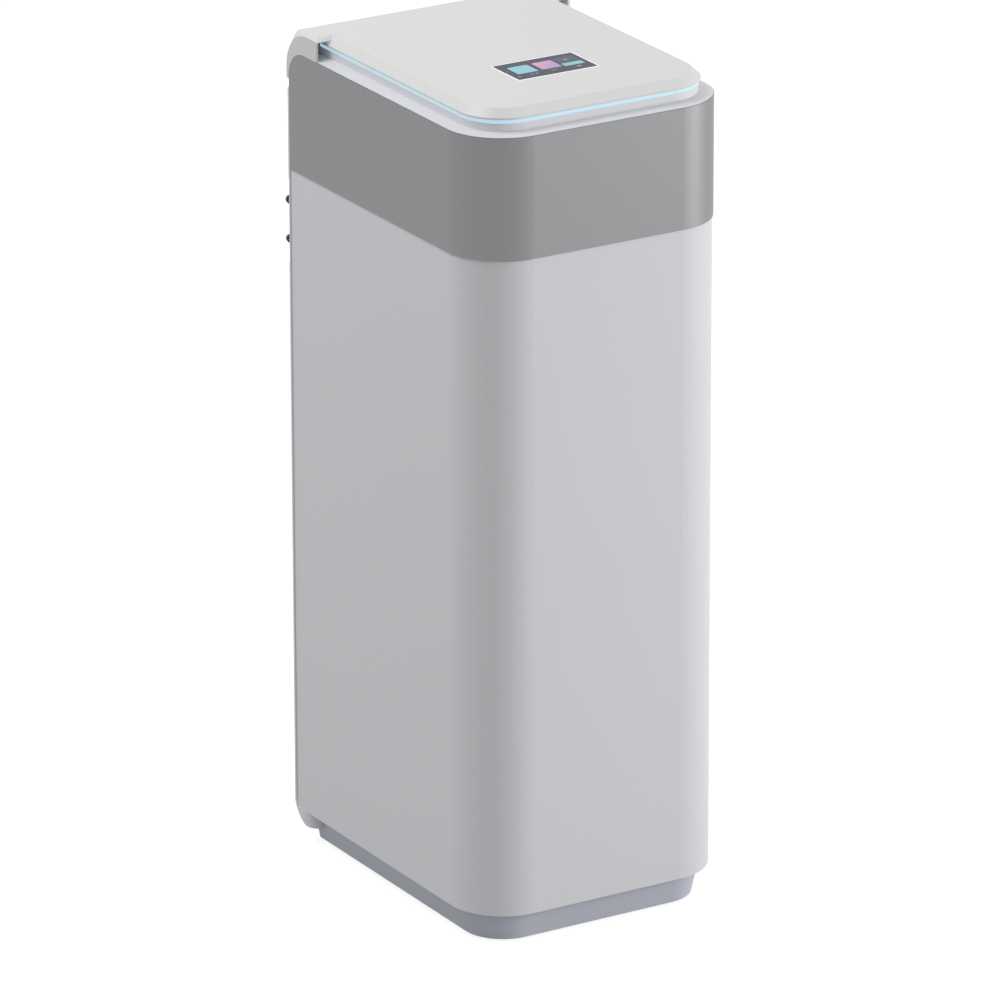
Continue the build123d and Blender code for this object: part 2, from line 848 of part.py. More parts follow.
def tank_profile(skin, low, shoulder, bore_r, top):
    """Half section of the pressure tank: a flattened dome at each end and an open neck."""
    radius = tank_r - skin
    rise = dome_height - skin
    crown = radius * dome_r_share
    with BuildSketch(Plane.XZ) as half:
        with BuildLine():
            Spline((0, low), (crown, low + rise * (1 - dome_r_share)), (radius, low + rise),
                   tangents=((1, 0), (0, 1)))
            Line((radius, low + rise), (radius, shoulder - rise))
            Spline((radius, shoulder - rise), (crown, shoulder - rise * (1 - dome_r_share)),
                   (bore_r, shoulder),
                   tangents=((0, 1), (-1, 0)))
            Polyline((bore_r, shoulder), (bore_r, top), (0, top), (0, low))
        make_face()
    return half.sketch


# Boot, resin tank and what it holds
shift = Location((0, tank_y, 0))
with BuildPart() as tank_boot:
    boot_low = floor_z + seat
    upright(0, tank_y, boot_low, boot_low + boot_height, boot_r)
    upright(0, tank_y, boot_low + boot_foot, boot_low + boot_height + cut, boot_r - boot_wall,
            Mode.SUBTRACT)
tank_boot.part.label = "tank_boot"
export_step(tank_boot.part, "parts/tank_boot.step")

shoulder_z = tank_top - neck_length
with BuildPart() as resin_tank:
    add(revolve(tank_profile(0, tank_low, shoulder_z, neck_r, tank_top), Axis.Z,
                mode=Mode.PRIVATE).moved(shift))
    add(
        revolve(
            tank_profile(tank_wall, tank_low + tank_wall, shoulder_z - tank_wall, neck_bore_r,
                         tank_top + cut),
            Axis.Z,
            mode=Mode.PRIVATE,
        ).moved(shift),
        mode=Mode.SUBTRACT,
    )
resin_tank.part.label = "resin_tank"
export_step(resin_tank.part, "parts/resin_tank.step")

bed_low = tank_low + tank_wall + seam
strainer_low = bed_low + strainer_lift
strainer_top = strainer_low + lower_strainer_height
resin_top = tank_low + resin_share * tank_length
with BuildPart() as resin_bed:
    add(
        revolve(
            tank_profile(tank_wall + seam, bed_low, shoulder_z - tank_wall - seam, neck_bore_r, tank_top),
            Axis.Z,
            mode=Mode.PRIVATE,
        ).moved(shift)
    )
    slab((-tank_r, tank_r), (tank_y - tank_r, tank_y + tank_r), (resin_top, tank_top + cut), Mode.SUBTRACT)
    upright(0, tank_y, tank_low, strainer_top + resin_gap, lower_strainer_r + resin_gap, Mode.SUBTRACT)
    upright(0, tank_y, tank_low, tank_top, riser_r + seam, Mode.SUBTRACT)
resin_bed.part.label = "resin_bed"
export_step(resin_bed.part, "parts/resin_bed.step")

riser_low = strainer_low + strainer_wall + seat
riser_top = valve_low + flange_height + collar_height / 2
with BuildPart() as riser_tube:
    upright(0, tank_y, riser_low, riser_top, riser_r)
    upright(0, tank_y, riser_low - cut, riser_top + cut, riser_r - riser_wall, Mode.SUBTRACT)
riser_tube.part.label = "riser_tube"
export_step(riser_tube.part, "parts/riser_tube.step")

with BuildPart() as lower_strainer:
    upright(0, tank_y, strainer_low, strainer_top, lower_strainer_r)
    upright(0, tank_y, strainer_low + strainer_wall, strainer_top + cut, riser_r + run, Mode.SUBTRACT)
    upright(0, tank_y, strainer_low + strainer_wall, strainer_top - strainer_wall,
            lower_strainer_r - strainer_wall, Mode.SUBTRACT)
lower_strainer.part.label = "lower_strainer"
export_step(lower_strainer.part, "parts/lower_strainer.step")

upper_low = valve_low - upper_strainer_height
with BuildPart() as upper_strainer:
    upright(0, tank_y, upper_low, valve_low - seat, upper_strainer_r)
    upright(0, tank_y, upper_low + strainer_wall, valve_low, upper_strainer_r - strainer_wall,
            Mode.SUBTRACT)
    upright(0, tank_y, upper_low - cut, valve_low, riser_r + seat, Mode.SUBTRACT)
upper_strainer.part.label = "upper_strainer"
export_step(upper_strainer.part, "parts/upper_strainer.step")

# Control valve body: flange, collar, manifold, two rear sockets, two nipples and the disc chamber
socket_front = tank_y + manifold_depth / 2
socket_end = socket_front + socket_length
bore_start = socket_end - socket_bore_depth
with BuildPart() as valve_body:
    upright(0, tank_y, valve_low, valve_low + flange_height, flange_r)
    upright(0, tank_y, valve_low + flange_height, manifold_low, collar_r)
    with BuildSketch(Plane.XY.offset(manifold_low)):
        with Locations((0, tank_y)):
            RectangleRounded(manifold_width, manifold_depth, manifold_edge_r * 2)
    extrude(amount=manifold_height)
    chamfer(valve_body.edges().group_by(Axis.Z)[-1], manifold_edge_r / 2)
    upright(0, tank_y, manifold_top - cut, chamber_top, chamber_r)
    for side in (-1, 1):
        x = side * port_spacing / 2
        along_y(x, port_z, tank_y, socket_end, socket_r)
        along_y(x, port_z, bore_start, socket_end + cut, thread_r + run, Mode.SUBTRACT)
        along_y(x, port_z, tank_y, socket_end, stub_bore_r, Mode.SUBTRACT)
    for y, z in ((drain_port_y, drain_z), (brine_port_y, arm_z)):
        along_x(y, z, -manifold_x - nipple_length / 4, -manifold_x + cut, nipple_collar_r)
    along_x(drain_port_y, drain_z, nipple_x, -manifold_x, drain_hose_r - hose_wall - run)
    along_x(drain_port_y, drain_z, nipple_x - cut, -manifold_x + manifold_x / 2, nipple_r, Mode.SUBTRACT)
    along_x(brine_port_y, arm_z, nipple_x, -manifold_x, brine_hose_r - hose_wall - run)
    along_x(brine_port_y, arm_z, nipple_x - cut, -manifold_x + manifold_x / 2, arm_bore_r / 2,
            Mode.SUBTRACT)
    upright(0, tank_y, disc_floor, chamber_top + cut, chamber_bore_r, Mode.SUBTRACT)
    upright(0, tank_y, valve_low - cut, riser_top + seat, riser_r + run, Mode.SUBTRACT)
valve_body.part.label = "valve_body"
export_step(valve_body.part, "parts/valve_body.step")


def disc_window(level, middle, arc, mode=Mode.SUBTRACT, height=fixed_disc_height + 2 * cut):
    """A ring-shaped window through a disc, centred on an angle."""
    with BuildSketch(Plane.XY.offset(level)) as window:
        with Locations((0, tank_y)):
            Circle(disc_window_out)
            Circle(disc_window_in, mode=Mode.SUBTRACT)
        reach = disc_window_out * 2
        with BuildLine():
            Polyline(
                (0, tank_y),
                (reach * cos(radians(middle - arc / 2)), tank_y + reach * sin(radians(middle - arc / 2))),
                (reach * cos(radians(middle + arc / 2)), tank_y + reach * sin(radians(middle + arc / 2))),
                close=True,
            )
        make_face(mode=Mode.INTERSECT)
    extrude(window.sketch, amount=height, mode=mode)


# Ceramic discs: one fixed with its windows, one turning with a crossover pocket
with BuildPart() as fixed_disc:
    upright(0, tank_y, disc_floor + seat, disc_floor + seat + fixed_disc_height, fixed_disc_r)
    for n in range(disc_windows):
        disc_window(disc_floor - cut, n * 360 / disc_windows, disc_window_arc)
    upright(0, tank_y, disc_floor, chamber_top, spindle_r, Mode.SUBTRACT)
fixed_disc.part.label = "fixed_disc"
export_step(fixed_disc.part, "parts/fixed_disc.step")

moving_top = moving_low + moving_disc_height
with BuildPart() as moving_disc:
    upright(0, tank_y, moving_low, moving_top, moving_disc_r)
    disc_window(moving_low - cut, 0, disc_window_arc, height=moving_disc_height + 2 * cut)
    disc_window(moving_low - cut, 180, disc_window_arc * 2, height=cut + moving_disc_height / 2)
    slab((-spindle_key / 2, spindle_key / 2), (tank_y - spindle_key / 2, tank_y + spindle_key / 2),
         (moving_top - moving_disc_height / 2, moving_top + cut), Mode.SUBTRACT)
moving_disc.part.label = "moving_disc"
export_step(moving_disc.part, "parts/moving_disc.step")

with BuildPart() as valve_bonnet:
    upright(0, tank_y, bonnet_low, bonnet_top, chamber_r)
    upright(0, tank_y, bonnet_low - cut, bonnet_top - bonnet_wall, moving_disc_r + gap, Mode.SUBTRACT)
    upright(0, tank_y, bonnet_low, bonnet_top + cut, spindle_r + run, Mode.SUBTRACT)
valve_bonnet.part.label = "valve_bonnet"
export_step(valve_bonnet.part, "parts/valve_bonnet.step")

# Drive: a square-keyed spindle with the large gear, an idler and the motor's pinion
with BuildPart() as main_gear:
    with BuildSketch(Plane.XY.offset(gear_low)):
        with Locations((0, tank_y)):
            Polygon(*gear_outline(main_teeth, 0), align=None)
    extrude(amount=gear_face)
    rim_r = main_r - dedendum_share * gear_module - main_rim
    with BuildSketch(Plane.XY.offset(gear_low + main_web)):
        with Locations((0, tank_y)):
            Circle(rim_r)
            Circle(spindle_r + main_rim, mode=Mode.SUBTRACT)
    extrude(amount=gear_face, mode=Mode.SUBTRACT)
    upright(0, tank_y, moving_top + seat, gear_low, spindle_r)
    key = (spindle_key / 2 - seat)
    slab((-key, key), (tank_y - key, tank_y + key), (moving_top - moving_disc_height / 2 + seat,
                                                     moving_top + cut))
main_gear.part.label = "main_gear"
export_step(main_gear.part, "parts/main_gear.step")

with BuildPart() as idler_gear:
    with BuildSketch(Plane.XY.offset(gear_low)):
        with Locations((idler_x, tank_y)):
            Polygon(*gear_outline(idler_teeth, 180 / idler_teeth), align=None)
            Circle(idler_axle_r + run, mode=Mode.SUBTRACT)
    extrude(amount=gear_face)
idler_gear.part.label = "idler_gear"
export_step(idler_gear.part, "parts/idler_gear.step")

with BuildPart() as motor_pinion:
    with BuildSketch(Plane.XY.offset(gear_low)):
        with Locations((motor_x, tank_y)):
            Polygon(*gear_outline(pinion_teeth, 0), align=None)
    extrude(amount=gear_face)
    upright(motor_x, tank_y, plate_low - motor_height / 2, gear_low, shaft_r)
motor_pinion.part.label = "motor_pinion"
export_step(motor_pinion.part, "parts/motor_pinion.step")


def plate_outline(level, inset):
    """Plan of the gear plate and of the cover that stands on it."""
    left = -main_r - plate_edge_r
    right = motor_x + motor_r
    with BuildSketch(Plane.XY.offset(level)) as outline:
        with Locations(((left + right) / 2, tank_y)):
            RectangleRounded(right - left - 2 * inset, 2 * (plate_wing - inset), plate_edge_r - inset)
    return outline.sketch


with BuildPart() as gear_plate:
    extrude(plate_outline(plate_low, 0), amount=plate_thickness)
    upright(0, tank_y, plate_low - cut, plate_top + cut, spindle_r + gap, Mode.SUBTRACT)
    upright(motor_x, tank_y, plate_low - cut, plate_top + cut, shaft_r + gap, Mode.SUBTRACT)
    upright(idler_x, tank_y, plate_top, gear_top + gear_lift, idler_axle_r)
    for side in (-1, 1):
        upright(side * main_r, tank_y + plate_wing - plate_edge_r, plate_top,
                plate_top + valve_cover_height - board_drop, board_post_r)
        upright(side * main_r, tank_y - plate_wing + plate_edge_r, plate_top,
                plate_top + valve_cover_height - board_drop, board_post_r)
gear_plate.part.label = "gear_plate"
export_step(gear_plate.part, "parts/gear_plate.step")

with BuildPart() as drive_motor:
    motor_top = plate_low - seat
    upright(motor_x, tank_y, motor_top - motor_height, motor_top, motor_r)
    for side in (-1, 1):
        upright(motor_x, tank_y + side * (motor_r + motor_ear / 2), motor_top - motor_flange, motor_top,
                motor_ear)
    upright(motor_x, tank_y, motor_top - motor_height / 2 - seam, motor_top + cut, shaft_r + run,
            Mode.SUBTRACT)
drive_motor.part.label = "drive_motor"
export_step(drive_motor.part, "parts/drive_motor.step")

with BuildPart() as control_board:
    board_low = plate_top + valve_cover_height - board_drop + seat
    extrude(plate_outline(board_low, board_margin / 2), amount=board_thickness)
    for n in range(board_blocks):
        start = -main_r + n * 2 * main_r / (board_blocks - 1)
        slab((start, start + board_margin), (tank_y - board_margin, tank_y + board_margin),
             (board_low + board_thickness, board_low + board_thickness + board_margin / 2))
control_board.part.label = "control_board"
export_step(control_board.part, "parts/control_board.step")

with BuildPart() as valve_cover:
    cover_low = plate_top + seat
    extrude(plate_outline(cover_low, 0), amount=valve_cover_height)
    chamfer(valve_cover.edges().group_by(Axis.Z)[-1], valve_cover_wall)
    extrude(plate_outline(cover_low - cut, valve_cover_wall),
            amount=valve_cover_height - valve_cover_wall + cut, mode=Mode.SUBTRACT)
valve_cover.part.label = "valve_cover"
export_step(valve_cover.part, "parts/valve_cover.step")

# Threaded stubs through the back, with a locknut each
stub_end = back_y + stub_reach
groove_start = recess_y + seat + locknut_height + seat
for name, side in (("inlet_stub", -1), ("outlet_stub", 1)):
    with BuildPart() as stub:
        x = side * port_spacing / 2
        along_y(x, port_z, bore_start + seat, stub_end, thread_r)
        chamfer(stub.edges().sort_by(Axis.Y)[-1], stub_chamfer)
        with BuildSketch(Plane.XZ.offset(-groove_start)):
            with Locations((x, port_z)):
                Circle(thread_r + cut)
                Circle(thread_r - stub_groove_depth, mode=Mode.SUBTRACT)
        extrude(amount=-stub_groove, mode=Mode.SUBTRACT)
        along_y(x, port_z, bore_start - cut, stub_end + cut, stub_bore_r, Mode.SUBTRACT)
    stub.part.label = name
    export_step(stub.part, "parts/" + name + ".step")

with BuildPart() as port_locknuts:
    for side in (-1, 1):
        with BuildSketch(Plane.XZ.offset(-recess_y - seat)):
            with Locations((side * port_spacing / 2, port_z)):
                RegularPolygon(locknut_r, nut_sides)
                Circle(thread_r + run, mode=Mode.SUBTRACT)
        extrude(amount=-locknut_height)
port_locknuts.part.label = "port_locknuts"
export_step(port_locknuts.part, "parts/port_locknuts.step")

# Flow meter in the outlet: a bladed wheel on an axle between two spiders
meter_x = port_spacing / 2
wheel_start = socket_end + turbine_length
wheel_end = wheel_start + turbine_length
carrier_low = wheel_start - carrier_gap - carrier_height
carrier_high = wheel_end + carrier_gap
with BuildPart() as turbine_wheel:
    along_y(meter_x, port_z, wheel_start, wheel_end, turbine_hub_r)
    for n in range(turbine_blades):
        angle = n * 360 / turbine_blades
        with BuildSketch(Plane.XZ.offset(-wheel_start)):
            with Locations(Location((meter_x, port_z), angle)):
                with Locations((turbine_r / 2, 0)):
                    Rectangle(turbine_r, turbine_blade)
        extrude(amount=-turbine_length)
    along_y(meter_x, port_z, wheel_start - cut, wheel_end + cut, turbine_axle_r + run, Mode.SUBTRACT)
turbine_wheel.part.label = "turbine_wheel"
export_step(turbine_wheel.part, "parts/turbine_wheel.step")

with BuildPart() as turbine_carrier:
    for start in (carrier_low, carrier_high):
        with BuildSketch(Plane.XZ.offset(-start)):
            with Locations((meter_x, port_z)):
                Circle(stub_bore_r - run)
                Circle(stub_bore_r - carrier_arm, mode=Mode.SUBTRACT)
                Rectangle(2 * (stub_bore_r - carrier_arm / 2), carrier_arm)
                Rectangle(carrier_arm, 2 * (stub_bore_r - carrier_arm / 2))
                Circle(carrier_hub_r)
        extrude(amount=-carrier_height)
    along_y(meter_x, port_z, carrier_low, carrier_high + carrier_height, turbine_axle_r)
turbine_carrier.part.label = "turbine_carrier"
export_step(turbine_carrier.part, "parts/turbine_carrier.step")


# Drain and overflow fittings: outer hose tail, flange, thread and inner tail
tail_tip = back_y + barb_reach
ribs_start = tail_tip - barb_ribs * barb_rib_pitch
for name, z in (("drain_fitting", drain_z), ("overflow_fitting", overflow_z)):
    with BuildPart() as fitting:
        along_y(barb_x, z, recess_y, ribs_start, barb_r)
        for n in range(barb_ribs):
            with Locations(Location((barb_x, ribs_start + n * barb_rib_pitch, z), (-90, 0, 0))):
                Cone(barb_r - barb_step, barb_r - barb_neck, barb_rib_pitch,
                     align=(Align.CENTER, Align.CENTER, Align.MIN))
        along_y(barb_x, z, recess_y + seat, recess_y + seat + barb_flange, barb_flange_r)
        along_y(barb_x, z, inside_back - 2 * barb_nut_height, recess_y + seat, barb_thread_r)
        if name == "drain_fitting":
            along_y(barb_x, z, inside_back - barb_tail, inside_back, drain_hose_r - hose_wall - run)
        along_y(barb_x, z, inside_back - barb_tail - cut, tail_tip + cut, barb_bore_r, Mode.SUBTRACT)
    fitting.part.label = name
    export_step(fitting.part, "parts/" + name + ".step")

with BuildPart() as fitting_nuts:
    for z in (drain_z, overflow_z):
        with BuildSketch(Plane.XZ.offset(-inside_back + seat + barb_nut_height)):
            with Locations((barb_x, z)):
                RegularPolygon(barb_nut_r, nut_sides)
                Circle(barb_thread_r + run, mode=Mode.SUBTRACT)
        extrude(amount=-barb_nut_height)
fitting_nuts.part.label = "fitting_nuts"
export_step(fitting_nuts.part, "parts/fitting_nuts.step")

with BuildPart() as power_socket:
    along_y(socket_x, port_z, recess_y - power_depth, recess_y + seat, power_r)
    along_y(socket_x, port_z, recess_y + seat, recess_y + seat + barb_flange, power_flange_r)
    along_y(socket_x, port_z, recess_y - power_depth / 2, back_y, power_bore_r, Mode.SUBTRACT)
    along_y(socket_x, port_z, recess_y - power_depth / 2 - cut, recess_y, power_pin_r)
power_socket.part.label = "power_socket"
export_step(power_socket.part, "parts/power_socket.step")

# Brine well with its lift-off cap
with BuildPart() as brine_well:
    upright(well_x, well_y, well_low, well_top, well_r)
    upright(well_x, well_y, well_low - cut, well_top + cut, well_r - well_wall, Mode.SUBTRACT)
    for n in range(well_slots):
        with BuildSketch(Plane.XY.offset(well_low + well_slot_length / 2)):
            with Locations(Location((well_x, well_y), n * 360 / well_slots + 180 / well_slots)):
                with Locations((well_r, 0)):
                    Rectangle(well_r, well_slot)
        extrude(amount=well_slot_length, mode=Mode.SUBTRACT)
    along_y(well_x, arm_z, well_y, well_y + well_r + cut, arm_r + seat, Mode.SUBTRACT)
brine_well.part.label = "brine_well"
export_step(brine_well.part, "parts/brine_well.step")

with BuildPart() as well_cap:
    cap_top = well_top + seam + cap_wall
    upright(well_x, well_y, cap_top - cap_height, cap_top, cap_r)
    upright(well_x, well_y, cap_top - cap_height - cut, cap_top - cap_wall, well_r + gap, Mode.SUBTRACT)
    upright(well_x, well_y, cap_top, cap_top + cap_grip_height, cap_grip_r)
    fillet(well_cap.edges().group_by(Axis.Z)[-1], cap_wall)
well_cap.part.label = "well_cap"
export_step(well_cap.part, "parts/well_cap.step")

# Float valve in the well: body with its arm, rod and float, pickup pipe and air check
safety_top = arm_z + arm_r + cut
safety_low = safety_top - safety_height
arm_end = well_y + well_r + arm_reach
with BuildPart() as float_valve:
    upright(well_x, well_y, safety_low, safety_top, safety_r)
    along_y(well_x, arm_z, well_y, well_y + well_r + arm_r, arm_r)
    along_y(well_x, arm_z, well_y, arm_end, brine_hose_r - hose_wall - run)
    along_y(well_x, arm_z, well_y, arm_end + cut, arm_bore_r / 2, Mode.SUBTRACT)
    upright(well_x, well_y, safety_low - cut, safety_low + safety_bore, rod_r + run, Mode.SUBTRACT)
    upright(well_x + pickup_offset, well_y + pickup_back, safety_low - cut,
            safety_low + safety_bore / 2, pickup_r + run, Mode.SUBTRACT)
float_valve.part.label = "float_valve"
export_step(float_valve.part, "parts/float_valve.step")

check_low = floor_z + seat + check_foot
check_x = well_x + pickup_offset
check_y = well_y + pickup_back
pickup_low = check_low + check_height / 2
with BuildPart() as pickup_pipe:
    upright(check_x, check_y, pickup_low, safety_low + safety_bore / 2 - seat, pickup_r)
    upright(check_x, check_y, pickup_low - cut, safety_low + safety_bore, pickup_r - pickup_wall,
            Mode.SUBTRACT)
pickup_pipe.part.label = "pickup_pipe"
export_step(pickup_pipe.part, "parts/pickup_pipe.step")

with BuildPart() as air_check:
    upright(check_x, check_y, check_low, check_low + check_height, check_r)
    upright(check_x, check_y, pickup_low - seat, check_low + check_height + cut, pickup_r + run,
            Mode.SUBTRACT)
    for x in (check_x - check_r / 2, check_x + check_r / 2):
        upright(x, check_y, floor_z + seat, check_low, check_foot / 2)
air_check.part.label = "air_check"
export_step(air_check.part, "parts/air_check.step")

rod_top = safety_low + safety_bore / 2
rod_low = rod_top - rod_length
float_low = floor_z + float_level
with BuildPart() as float_rod:
    upright(well_x, well_y, rod_low, rod_top, rod_r)
    for z in (float_low - seat - grommet_height, float_low + float_height + seat):
        upright(well_x, well_y, z, z + grommet_height, grommet_r)
float_rod.part.label = "float_rod"
export_step(float_rod.part, "parts/float_rod.step")

with BuildPart() as brine_float:
    upright(well_x, well_y, float_low, float_low + float_height, float_r)
    upright(well_x, well_y, float_low - cut, float_low + float_height + cut, rod_r + run, Mode.SUBTRACT)
    upright(check_x, check_y, float_low - cut, float_low + float_height + cut, pickup_r + float_gap,
            Mode.SUBTRACT)
brine_float.part.label = "brine_float"
export_step(brine_float.part, "parts/brine_float.step")

# Salt grid: a slotted platform on legs in front of the resin tank
with BuildPart() as salt_grid:
    extrude(
        plan(body_inset + body_wall + hole_clearance * 2, tank_y, grid_high - grid_thickness),
        amount=grid_thickness,
    )
    upright(0, tank_y, grid_high - grid_thickness - cut, grid_high + cut, boot_r + grid_back_gap,
            Mode.SUBTRACT)
    grid_cut = (grid_high - grid_thickness - cut, grid_high + cut)
    slab((-width, width), (tank_y - boot_r / 2, tank_y + cut), grid_cut, Mode.SUBTRACT)
    upright(well_x, well_y, *grid_cut, well_r + grid_well_gap, Mode.SUBTRACT)
    slot_left = well_x + well_r + grid_well_gap + grid_slot
    slot_mid = (slot_left + inside_x - grid_slot) / 2
    with BuildSketch(Plane.XY.offset(grid_high - grid_thickness - cut)):
        with Locations((slot_mid, well_y + grid_slot)):
            with GridLocations(grid_slot_pitch_x, grid_slot_pitch_y, grid_columns, grid_rows):
                SlotOverall(grid_slot_length, grid_slot)
    extrude(amount=grid_thickness + 2 * cut, mode=Mode.SUBTRACT)
    leg_x = inside_x - grid_legs_inset
    leg_y = tank_y - boot_r - grid_legs_inset
    for x, y in ((leg_x, leg_y), (-leg_x, leg_y), (leg_x - grid_legs_inset, inside_front + grid_legs_inset),
                 (slot_left, inside_front + grid_legs_inset)):
        upright(x, y, floor_z + seat, grid_high - grid_thickness, grid_leg_r)
salt_grid.part.label = "salt_grid"
export_step(salt_grid.part, "parts/salt_grid.step")


def hose(points, radius, bore):
    """A round hose along straight runs joined by one arc."""
    first = Vector(*points[1]) - Vector(*points[0])
    last = Vector(*points[2]) - Vector(*points[1])
    turn = radians(first.get_angle(last))
    bend = bend_share * min(first.length, last.length) / tan(turn / 2)
    print("hose bend radius", round(bend, 1))
    with BuildPart() as tube:
        with BuildLine() as route:
            FilletPolyline(*points, radius=bend)
        with BuildSketch(Plane(origin=points[0], z_dir=first)):
            Circle(radius)
            Circle(bore, mode=Mode.SUBTRACT)
        sweep(path=route.wires()[0])
    return tube.part


# Hoses: brine from the float valve to the control valve, and waste water to the drain fitting
brine_start = well_y + well_r + arm_r + seat
hose_end = -manifold_x - nipple_length / 4 - seat
brine_hose = hose(
    [(well_x, brine_start, arm_z), (well_x, brine_port_y, arm_z), (hose_end, brine_port_y, arm_z)],
    brine_hose_r,
    brine_hose_r - hose_wall,
)
brine_hose.label = "brine_hose"
export_step(brine_hose, "parts/brine_hose.step")

drain_end = inside_back - 2 * barb_nut_height - seat
drain_hose = hose(
    [(hose_end, drain_port_y, drain_z), (barb_x, drain_port_y, drain_z), (barb_x, drain_end, drain_z)],
    drain_hose_r,
    drain_hose_r - hose_wall,
)
drain_hose.label = "drain_hose"
export_step(drain_hose, "parts/drain_hose.step")
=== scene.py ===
import json
from math import radians

import bpy
import numpy as np
from mathutils import Matrix, Vector


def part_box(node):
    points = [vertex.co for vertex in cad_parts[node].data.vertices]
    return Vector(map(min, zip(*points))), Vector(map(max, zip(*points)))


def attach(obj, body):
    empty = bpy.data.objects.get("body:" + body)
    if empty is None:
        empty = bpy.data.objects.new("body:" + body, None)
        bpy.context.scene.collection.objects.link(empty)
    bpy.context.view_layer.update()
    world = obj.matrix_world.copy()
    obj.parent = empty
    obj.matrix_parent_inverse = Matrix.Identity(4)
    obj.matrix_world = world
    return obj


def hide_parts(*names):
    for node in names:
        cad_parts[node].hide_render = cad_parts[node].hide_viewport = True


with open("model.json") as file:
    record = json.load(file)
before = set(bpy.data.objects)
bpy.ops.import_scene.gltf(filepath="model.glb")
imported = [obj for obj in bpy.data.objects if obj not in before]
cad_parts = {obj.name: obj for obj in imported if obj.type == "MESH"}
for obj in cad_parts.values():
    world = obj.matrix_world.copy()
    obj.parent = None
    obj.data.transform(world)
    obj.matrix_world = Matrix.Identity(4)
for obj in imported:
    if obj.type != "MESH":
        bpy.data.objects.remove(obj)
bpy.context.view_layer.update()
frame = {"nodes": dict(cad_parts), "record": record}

bl_info = {
    "name": "Water softener finish",
    "version": (1, 0, 0),
    "blender": (4, 5, 0),
    "location": "View3D > Sidebar > Softener",
    "description": "Finishes, display, fittings and studio for a cabinet water softener",
    "category": "Add Mesh",
}

MM = 0.001
TURN = 2 * np.pi
LENS_LOW, LENS_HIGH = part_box("display_lens")
LENS_MIDDLE = (LENS_LOW + LENS_HIGH) / 2
LENS_HALF = (LENS_HIGH - LENS_LOW) / 2


# Properties

class SoftenerFinishes(bpy.types.PropertyGroup):
    """Colours and surface values of the moulded and metal pieces"""
    shell: bpy.props.FloatVectorProperty(
        name="Shell", description="Moulded white of the cabinet and its frame",
        subtype="COLOR", size=3, min=0, max=1, default=(0.68, 0.682, 0.71))
    lid: bpy.props.FloatVectorProperty(
        name="Lid", description="Brighter white of the hood",
        subtype="COLOR", size=3, min=0, max=1, default=(0.651, 0.651, 0.653))
    band: bpy.props.FloatVectorProperty(
        name="Band", description="Silver lacquer of the band",
        subtype="COLOR", size=3, min=0, max=1, default=(0.244, 0.247, 0.253))
    # The plinth's colour is the shell's white darkened and cooled: mostly painted shade under the body's
    # overhang, a little the plinth's own grey
    plinth: bpy.props.FloatVectorProperty(
        name="Plinth", description="Blue-grey of the plinth",
        subtype="COLOR", size=3, min=0, max=1, default=(0.532, 0.553, 0.627))
    glow: bpy.props.FloatVectorProperty(
        name="Light strip", description="Pale cyan of the light strip",
        subtype="COLOR", size=3, min=0, max=1, default=(0.52, 0.74, 0.86))
    glow_power: bpy.props.FloatProperty(
        name="Strip power", description="Emission of the light strip",
        min=0, max=5, default=0.72)


class SoftenerDisplay(bpy.types.PropertyGroup):
    """Sizes of the picture under the display window"""
    outline: bpy.props.FloatProperty(
        name="Outline", description="Width of the bright line round the window",
        subtype="DISTANCE", unit="LENGTH", default=1.5 * MM)
    glass: bpy.props.FloatVectorProperty(
        name="Glass", description="Dark slate of the unlit panel",
        subtype="COLOR", size=3, min=0, max=1, default=(0.022, 0.024, 0.044))
    brightness: bpy.props.FloatProperty(
        name="Brightness", description="Emission of the lit tiles",
        min=0, max=3, default=0.76)


class SoftenerFittings(bpy.types.PropertyGroup):
    """Sizes of threads, screws and small fittings"""
    pitch: bpy.props.FloatProperty(
        name="Thread pitch", description="Distance between threads on the pipe stubs",
        subtype="DISTANCE", unit="LENGTH", default=2.309 * MM)
    thread_depth: bpy.props.FloatProperty(
        name="Thread depth", description="Crest to root on the pipe stubs",
        subtype="DISTANCE", unit="LENGTH", default=1.4 * MM)
    screw_radius: bpy.props.FloatProperty(
        name="Screw head radius", description="Radius of the cover screws' heads",
        subtype="DISTANCE", unit="LENGTH", default=3.6 * MM)
    screw_height: bpy.props.FloatProperty(
        name="Screw head height", description="Height of the cover screws' heads",
        subtype="DISTANCE", unit="LENGTH", default=1.6 * MM)
    clip_width: bpy.props.FloatProperty(
        name="Clip width", description="Width of the hose clips' band",
        subtype="DISTANCE", unit="LENGTH", default=6 * MM)
    clip_wall: bpy.props.FloatProperty(
        name="Clip thickness", description="Thickness of the hose clips' band",
        subtype="DISTANCE", unit="LENGTH", default=0.8 * MM)


